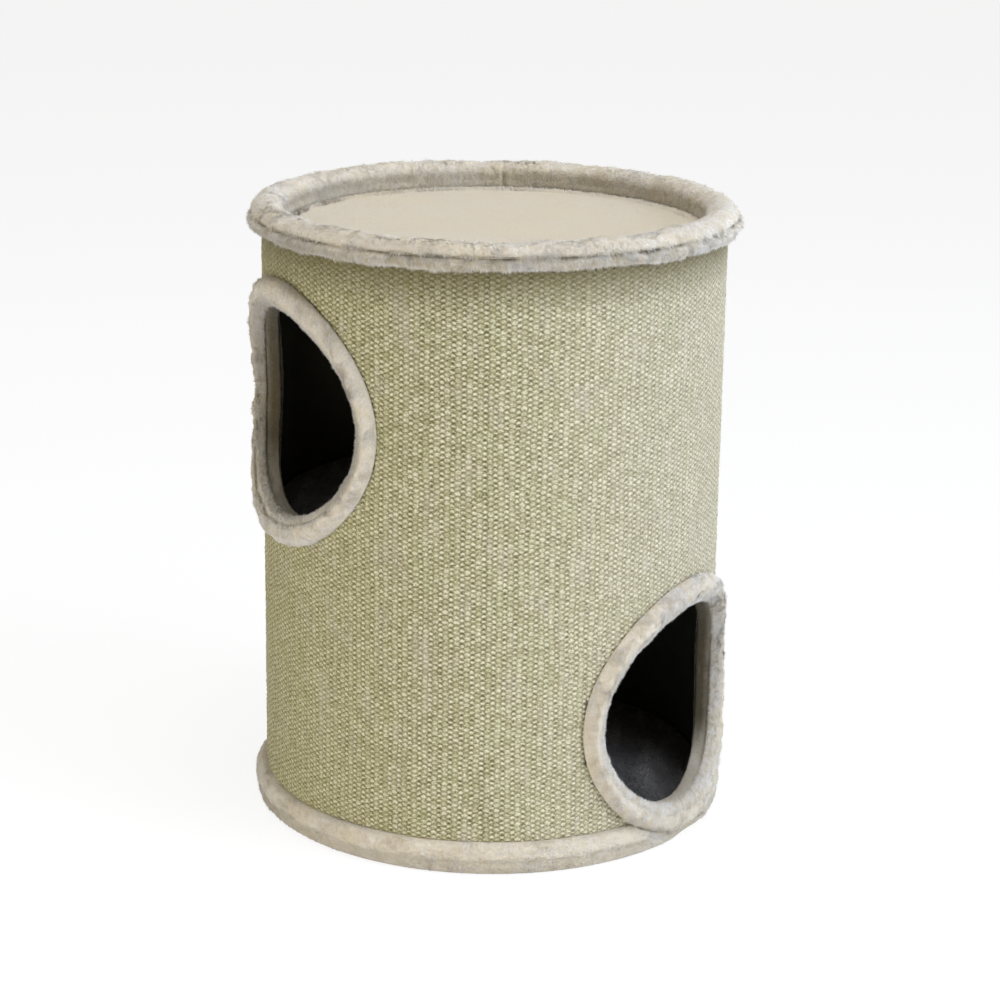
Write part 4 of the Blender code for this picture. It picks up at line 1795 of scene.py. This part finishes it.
    def width_faces(self, face: Array, back: Array, beads: Array, own: Array) -> Faces:
        """Closes the kept blocks of one width: fine face, coarse back and the walls between.

        Args:
            face: All points of the face.
            back: All points on the tube.
            beads: The bead count at each point.
            own: The blocks of this width.

        Returns:
            The width as a mesh in the making.
        """
        wide, tall = self.cells, self.row_cells
        u, v = np.nonzero(np.repeat(np.repeat(own, wide, axis=0), tall, axis=1))
        count = len(beads[0])
        number = np.arange(face.shape[0] * count).reshape(-1, count)
        behind = number + number.size
        corner_u = np.stack([u, u + 1, u + 1, u], axis=-1)
        corner_v = np.stack([v, v, v + 1, v + 1], axis=-1)
        kind = u % wide
        narrow = kind >= 3
        start = np.where(narrow, 3, 0)
        steps = np.where(narrow, 2, 3)[:, None]
        part = (corner_u - (u - kind + start)[:, None]) / steps
        column = (2 * (u // wide) + narrow)[:, None]
        bead = beads[corner_u, corner_v] + 0.5 * narrow[:, None]
        weave = np.stack([column + 0.002 + 0.996 * part, bead], axis=-1)
        bu, bv = (side * size for side, size in zip(np.nonzero(own), (wide, tall)))
        rear_u = np.stack([bu, bu, bu + wide, bu + wide], axis=-1)
        rear_v = np.stack([bv, bv + tall, bv + tall, bv], axis=-1)
        spots = [(corner_u, corner_v), (rear_u, rear_v)]
        index = [number[corner_u, corner_v], behind[rear_u, rear_v]]
        rows, columns = own.shape
        padded = np.pad(own, 1)
        for step_u, step_v in ((0, -1), (1, 0), (0, 1), (-1, 0)):
            beside = padded[1 + step_u : 1 + step_u + rows, 1 + step_v : 1 + step_v + columns]
            wu, wv = np.nonzero(own & ~beside)
            run = np.arange((wide if step_v else tall) + 1)[:: -1 if step_v > 0 or step_u < 0 else 1]
            if step_v:
                eu = (wu * wide)[:, None] + run
                ev = np.broadcast_to((wv * tall + (tall if step_v > 0 else 0))[:, None], eu.shape)
            else:
                ev = (wv * tall)[:, None] + run
                eu = np.broadcast_to((wu * wide + (wide if step_u > 0 else 0))[:, None], ev.shape)
            eu, ev = (np.concatenate([e[:, :1], e[:, -1:], e[:, ::-1]], axis=1) for e in (eu, ev))
            spots.append((eu, ev))
            index.append(np.concatenate([behind[eu, ev][:, :2], number[eu, ev][:, 2:]], axis=1))
        counts = np.concatenate([np.full(len(part), part.shape[1]) for part in index])
        all_u, all_v = (np.concatenate([s[k].ravel() for s in spots]).astype(float) for k in (0, 1))
        span_u = (all_u - all_u.min()) / (all_u.max() - all_u.min())
        places = np.stack([0.01 + 0.98 * span_u, 0.01 + 0.98 * all_v / (count - 1)], axis=-1)
        plain = np.full((len(all_u) - weave.shape[0] * 4, 2), 0.5)
        weave = np.concatenate([weave.reshape(-1, 2), plain])
        used, corners = np.unique(np.concatenate([part.ravel() for part in index]), return_inverse=True)
        points = np.concatenate([face.reshape(-1, 3), back.reshape(-1, 3)])[used]
        return Faces(points, corners, counts, places, maps={"Weave": weave})


@dataclass
class Lining:
    """The felt on the wall of one den, with its opening under the turned-in plush."""

    name: str
    node: str
    side: Side
    bottom: float
    top: float
    outer: float = 0.1771
    inner: float = 0.1760
    hole: float = 0.0912
    cell: float = 0.0075
    snap_within: float = 0.0046

    def build(self, finishes: Finishes) -> None:
        """Builds the felt: a round wall of two skins whose hole's edge is snapped to a circle.

        A point within half a cell of the circle moves straight to it, and a face whose corners
        all lie on or inside the circle goes.

        Args:
            finishes: The scratcher's materials.
        """
        count = round(2 * math.pi * self.inner / self.cell)
        rows = round((self.top - self.bottom) / self.cell)
        angle = 2 * math.pi * np.arange(count)[:, None] / count - math.pi / 2
        height = np.linspace(self.bottom, self.top, rows + 1)[None]
        centre = self.side.turn
        away = (angle - (centre - math.pi / 2) + math.pi) % (2 * math.pi) - math.pi
        front = np.abs(away) < math.pi / 2
        across, rise = self.inner * np.sin(away), height - self.side.height
        bore = np.maximum(np.hypot(across, rise), 1e-6)
        snap = (np.abs(bore - self.hole) < self.snap_within) & front
        grow = np.where(snap, self.hole / bore, 1)
        low, high = self.bottom - self.side.height, self.top - self.side.height
        across, rise = across * grow, np.clip(rise * grow, low, high)
        side_angle = np.arcsin(np.clip(across / self.inner, -1, 1))
        angle = np.where(snap, centre - math.pi / 2 + side_angle, angle + 0 * height)
        height = rise + self.side.height
        felt = 0.0003 * lattice_noise(np.stack([angle * 0.18, height, 0 * height], -1), 0.012, 9)
        inside = self.inner + felt
        shells = [
            np.stack([radius * np.cos(angle), radius * np.sin(angle), height], axis=-1)
            for radius in (inside, self.outer + 0 * inside)
        ]
        u, v = np.meshgrid(np.arange(count), np.arange(rows), indexing="ij")
        u, v = u.ravel(), v.ravel()
        corner_u = np.stack([u, u + 1, u + 1, u], -1)
        corner_v = np.stack([v, v, v + 1, v + 1], -1)
        within = (np.hypot(across, rise) < self.hole + 1e-5) & front
        gone = within[corner_u % count, corner_v].all(axis=1)
        grid = np.stack([corner_u, corner_v], -1)[~gone]
        number = np.arange(count * (rows + 1)).reshape(count, rows + 1)
        quads = number[grid[..., 0] % count, grid[..., 1]]
        behind = quads + number.size
        sides = [[k, (k + 1) % 4] for k in range(4)]
        edges = np.concatenate([quads[:, side] for side in sides])
        spots = np.concatenate([grid[:, side] for side in sides])
        key = np.sort(edges, axis=1)
        _, where, times = np.unique(key, axis=0, return_inverse=True, return_counts=True)
        rim = times[where.ravel()] == 1
        walls = edges[rim][:, [0, 1, 1, 0]] + np.array([0, 0, 1, 1]) * number.size
        index = np.concatenate([quads[:, ::-1], behind, walls])
        wall_spots = spots[rim][:, [0, 1, 1, 0]]
        places = np.concatenate([grid[:, ::-1], grid, wall_spots]) / np.array([count, rows])
        used, corners = np.unique(index.ravel(), return_inverse=True)
        points = np.concatenate([s.reshape(-1, 3) for s in shells])[used]
        faces = Faces(points, corners, np.full(len(index), 4), 0.005 + 0.99 * places.reshape(-1, 2))
        piece = add_piece(self.name, faces, finishes.felt, Slot.LINING, self.node)


@dataclass
class FloorPlush:
    """A round plush laid on a deck: a den's floor, or the tray that the cat lies on."""

    name: str
    node: str
    deck: str
    bottom: float
    edge: float
    crown: float
    dip: float
    reach: float = 0.1770
    flat_from: float = 0.1640
    seed: int = 80
    step: float = 0.0036
    fringe: Pile | None = None
    fringe_ring: float = 0.1680

    def build(self, material: Material, slot: Slot, pile: Pile) -> None:
        """Builds the plush as a disc that swells towards its middle.

        The height over the edge is crown x sqrt(1 - (r / flat_from)^2), with soft dips. Where it
        has a fringe, it rises a little in a ring against the rim.

        Args:
            material: The plush's finish.
            slot: The record's slot of that finish.
            pile: How its pile stands.
        """
        swell = arc((0, self.edge), (self.flat_from, self.crown), 0, 90)
        path = line((self.reach, self.bottom), (self.reach, self.edge), swell)
        skin = Skin.disc(self.bottom, path, self.step)
        radius = from_axis(skin.points)
        inside = ease(self.reach - 0.002, self.reach - 0.012, radius)
        rise = lumps(skin, self.dip, self.dip * 0.4, self.seed) * inside
        if self.fringe:
            rise = rise + 0.0013 * bell(radius - self.fringe_ring, 0.0015)
        skin = skin.moved(rise)
        skin.points[:, -1] = skin.points[:, -1].mean(axis=0)
        radius = from_axis(skin.points)
        piles = [(pile, None)]
        if self.fringe:
            ring = ease(0.1625, 0.1655, radius) * ease(0.1745, 0.1725, radius)
            piles.append((self.fringe, ring))
        plush, locks = add_plush(self.name, skin, piles, material, slot, (self.node,))
        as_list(locks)


@dataclass
class Drum:
    """The hard parts that stay as they are in the frame, with their finishes."""

    decks: tuple[str, ...] = ("bottom_board", "middle_board", "top_board")

    def dress(self, finishes: Finishes) -> None:
        """Gives the tube, the decks and the screws their finishes.

        Args:
            finishes: The scratcher's materials.
        """
        for name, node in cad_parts.items():
            if "_screw_" in name:
                self.paint(node, finishes.zinc)
            elif name in self.decks:
                self.paint(node, finishes.chips)
        self.paint(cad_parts["drum_tube"], finishes.board)
        LOG.info("drum dressed")

    @staticmethod
    def paint(node: bpy.types.Object, material: Material) -> None:
        """Puts a finish into a node's material slots."""
        for place in node.material_slots:
            place.material = material


@dataclass
class TrayPadding:
    """The thin foam under the tray's plush."""

    bottom: float = 0.4670
    top: float = 0.4730
    reach: float = 0.1771
    step: float = 0.012

    def build(self, finishes: Finishes) -> None:
        """Builds the foam disc.

        Args:
            finishes: The scratcher's materials.
        """
        path = line((self.reach, self.bottom), (self.reach, self.top), (0, self.top))
        skin = Skin.disc(self.bottom, path, self.step)
        foam = add_piece("tray_padding", skin_faces(skin), finishes.foam, Slot.FOAM, "tray_foam")


@dataclass(frozen=True)
class Lamp:
    """A soft square lamp that faces the middle of the drum."""

    name: str
    place: tuple[float, float, float]
    watts: float
    colour: Colour
    size: float = 1.5

    def hang(self) -> None:
        """Hangs the lamp in its place."""
        lamp = bpy.data.lights.new(self.name, "AREA")
        lamp.size, lamp.energy, lamp.color = self.size, self.watts, self.colour
        holder = bpy.data.objects.new(self.name, lamp)
        away = np.array(self.place) - np.array([0, 0, 0.25])
        away /= np.linalg.norm(away)
        side = np.cross([0, 0, 1], away)
        side /= np.linalg.norm(side)
        holder.matrix_world = placed(side, np.cross(away, side), away, self.place)
        bpy.context.scene.collection.objects.link(holder)


def placed(right: Array, up: Array, back: Array, place: tuple[float, float, float]) -> Matrix:
    """The matrix that turns a thing's own x, y and z to these directions and moves it to place."""
    columns = np.stack([right, up, back, np.array(place)], axis=1)
    return Matrix([*columns.tolist(), (0, 0, 0, 1)])


@dataclass
class Studio:
    """A pale floor, plain light and the camera of the photograph."""

    lens: float = 97.2
    distance: float = 2.1303
    height: float = 0.8826
    pitch: float = 0.2893
    roll: float = -0.01430
    yaw: float = -0.00339
    around: float = math.radians(2.25)
    sensor: float = 36
    world_light: float = 0.16
    world_colour: Colour = (1.0, 0.975, 0.91)
    floor_grey: float = 0.86
    floor_half: float = 9.0
    floor_glow: float = 1.08
    floor_glow_share: float = 0.80
    lamps: tuple[Lamp, ...] = (
        Lamp("key_high", (1.58, -1.11, 2.55), 18.0, (0.84, 0.91, 1.0)),
        Lamp("key_low", (2.65, -1.07, 1.18), 55.0, (0.81, 0.885, 1.0)),
        Lamp("top", (0.20, -0.24, 3.23), 45.0, (0.97, 0.98, 1.0)),
        Lamp("fill_side", (-2.68, 0.47, 1.52), 5.6, (1.0, 0.955, 0.80)),
        Lamp("fill_front", (-2.22, -1.86, 1.03), 10.0, (1.0, 0.955, 0.80)),
        Lamp("fill_low", (-0.60, -1.15, 0.12), 6.2, (1.0, 0.975, 0.93), size=0.6),
    )

    def build(self) -> None:
        """Builds camera, floor, world and lamps."""
        scene = bpy.context.scene
        scene.view_settings.view_transform = "Standard"
        self.add_camera()
        self.add_floor()
        self.light_world()
        for lamp in self.lamps:
            lamp.hang()
        LOG.info("studio ready")

    def add_camera(self) -> None:
        """Puts the camera where the outlines of the photograph place it."""
        ahead = np.array([-math.sin(self.yaw), math.cos(self.yaw), 0])
        right = np.array([math.cos(self.yaw), math.sin(self.yaw), 0])
        up = np.array([0, 0, 1.0])
        look = math.cos(self.pitch) * ahead - math.sin(self.pitch) * up
        rise = math.sin(self.pitch) * ahead + math.cos(self.pitch) * up
        across = math.cos(self.roll) * right - math.sin(self.roll) * rise
        above = math.sin(self.roll) * right + math.cos(self.roll) * rise
        place = placed(across, above, -look, (0, -self.distance, self.height))
        camera = bpy.data.objects.new("camera", bpy.data.cameras.new("camera"))
        camera.data.lens = self.lens
        camera.data.sensor_width = self.sensor
        camera.matrix_world = Matrix.Rotation(self.around, 4, "Z") @ place
        bpy.context.scene.collection.objects.link(camera)
        bpy.context.scene.camera = camera

    def add_floor(self) -> None:
        """Adds a pale floor that reads as the white ground of the photograph and keeps shadows."""
        mesh = bpy.data.meshes.new("floor")
        corners = [(x * self.floor_half, y * self.floor_half, 0) for x, y in CORNER_SIGNS]
        mesh.from_pydata(corners, [], [(0, 1, 2, 3)])
        floor = bpy.data.objects.new("floor", mesh)
        bpy.context.scene.collection.objects.link(floor)
        nodes = Surface("pale_floor")
        grey = (self.floor_grey,) * 3
        nodes.dress({"Base Color": grey, "Roughness": 0.9, "Specular IOR Level": 0.1})
        glow = nodes.flow("Emission", {"Strength": self.floor_glow})
        seen = nodes.flow("LightPath", {}, "Is Camera Ray") * self.floor_glow_share
        lit = Signal(nodes, nodes.shader.outputs[0])
        both = nodes.flow("MixShader", {0: seen, 1: lit, 2: glow})
        nodes.join(both, nodes.tree.nodes["Material Output"].inputs["Surface"])
        mesh.materials.append(nodes.material)
        floor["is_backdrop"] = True

    def light_world(self) -> None:
        """Lights the object softly from all round, and shows camera and gloss a white ground."""
        world = bpy.data.worlds.new("studio")
        world.use_nodes = True
        bpy.context.scene.world = world
        nodes = Nodes(world.node_tree)
        soft = nodes.tree.nodes["Background"]
        nodes.join(self.world_colour, soft.inputs["Color"])
        nodes.join(self.world_light, soft.inputs["Strength"])
        white = nodes.flow("Background", {"Color": (1.0, 1.0, 1.0), "Strength": 1.0})
        path = nodes.add("LightPath")
        shown, *others = (
            Signal(nodes, path.outputs[f"Is {ray} Ray"]) for ray in ("Camera", "Transmission", "Glossy")
        )
        for ray in others:
            shown = nodes.math("MAXIMUM", shown, ray)
        both = nodes.flow("MixShader", {0: shown, 1: Signal(nodes, soft.outputs[0]), 2: white})
        nodes.join(both, nodes.tree.nodes["World Output"].inputs["Surface"])


def main() -> None:
    """Builds the studio and dresses the scratcher, from the drum outwards."""
    logging.basicConfig(level=logging.INFO, format="%(message)s")
    Studio().build()
    finishes = Finishes()
    Drum().dress(finishes)
    Lining("lower_den_felt", "lower_lining", Side.LOWER, bottom=0.0230, top=0.2315).build(finishes)
    Lining("upper_den_felt", "upper_lining", Side.UPPER, bottom=0.2485, top=0.4542).build(finishes)
    shag = Pile(density=0.09, length=0.0055, width=0.0018, lean=0.8, nap=(1.0, 0.4), swirl=1.4, seed=71)
    FloorPlush(
        "lower_den_plush", "lower_floor_plush", "bottom_board",
        bottom=0.0188, edge=0.0221, crown=0.0006, dip=0.0005,
    ).build(finishes.floor, Slot.FLOOR, shag)
    FloorPlush(
        "upper_den_plush", "upper_floor_plush", "middle_board",
        bottom=0.2443, edge=0.2474, crown=0.0006, dip=0.0005, seed=84,
    ).build(finishes.floor, Slot.FLOOR, shag)
    TrayPadding().build(finishes)
    fringe = Pile(
        density=2.2, length=0.0040, width=0.0011, lean=0.45, nap=(1.0, -1.0), swirl=1.2, seed=93,
        lock=0.22, round=0.3,
    )
    brushed = Pile(
        density=0.38, length=0.0022, width=0.0013, lean=0.88, nap=(-0.6, 0.8), swirl=0.35, seed=89,
        lock=0.04, round=0.08, combed=True,
    )
    FloorPlush(
        "tray_top_plush", "tray_plush", "top_board",
        bottom=0.4733, edge=0.4765, crown=0.0014, dip=0.00008, seed=88, fringe=fringe,
    ).build(finishes.tray, Slot.TRAY, brushed)
    Matting().build(finishes)
    Base().build(finishes)
    Rim().build(finishes)
    Entrance(Side.UPPER, seed=60).build(finishes)
    Entrance(Side.LOWER, seed=100).build(finishes)
    sizes = {"cad": CAD_BOX, "visual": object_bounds()}
    plain = {title: [[float(n) for n in corner] for corner in box] for title, box in sizes.items()}


if __name__ == "__main__":
    main()
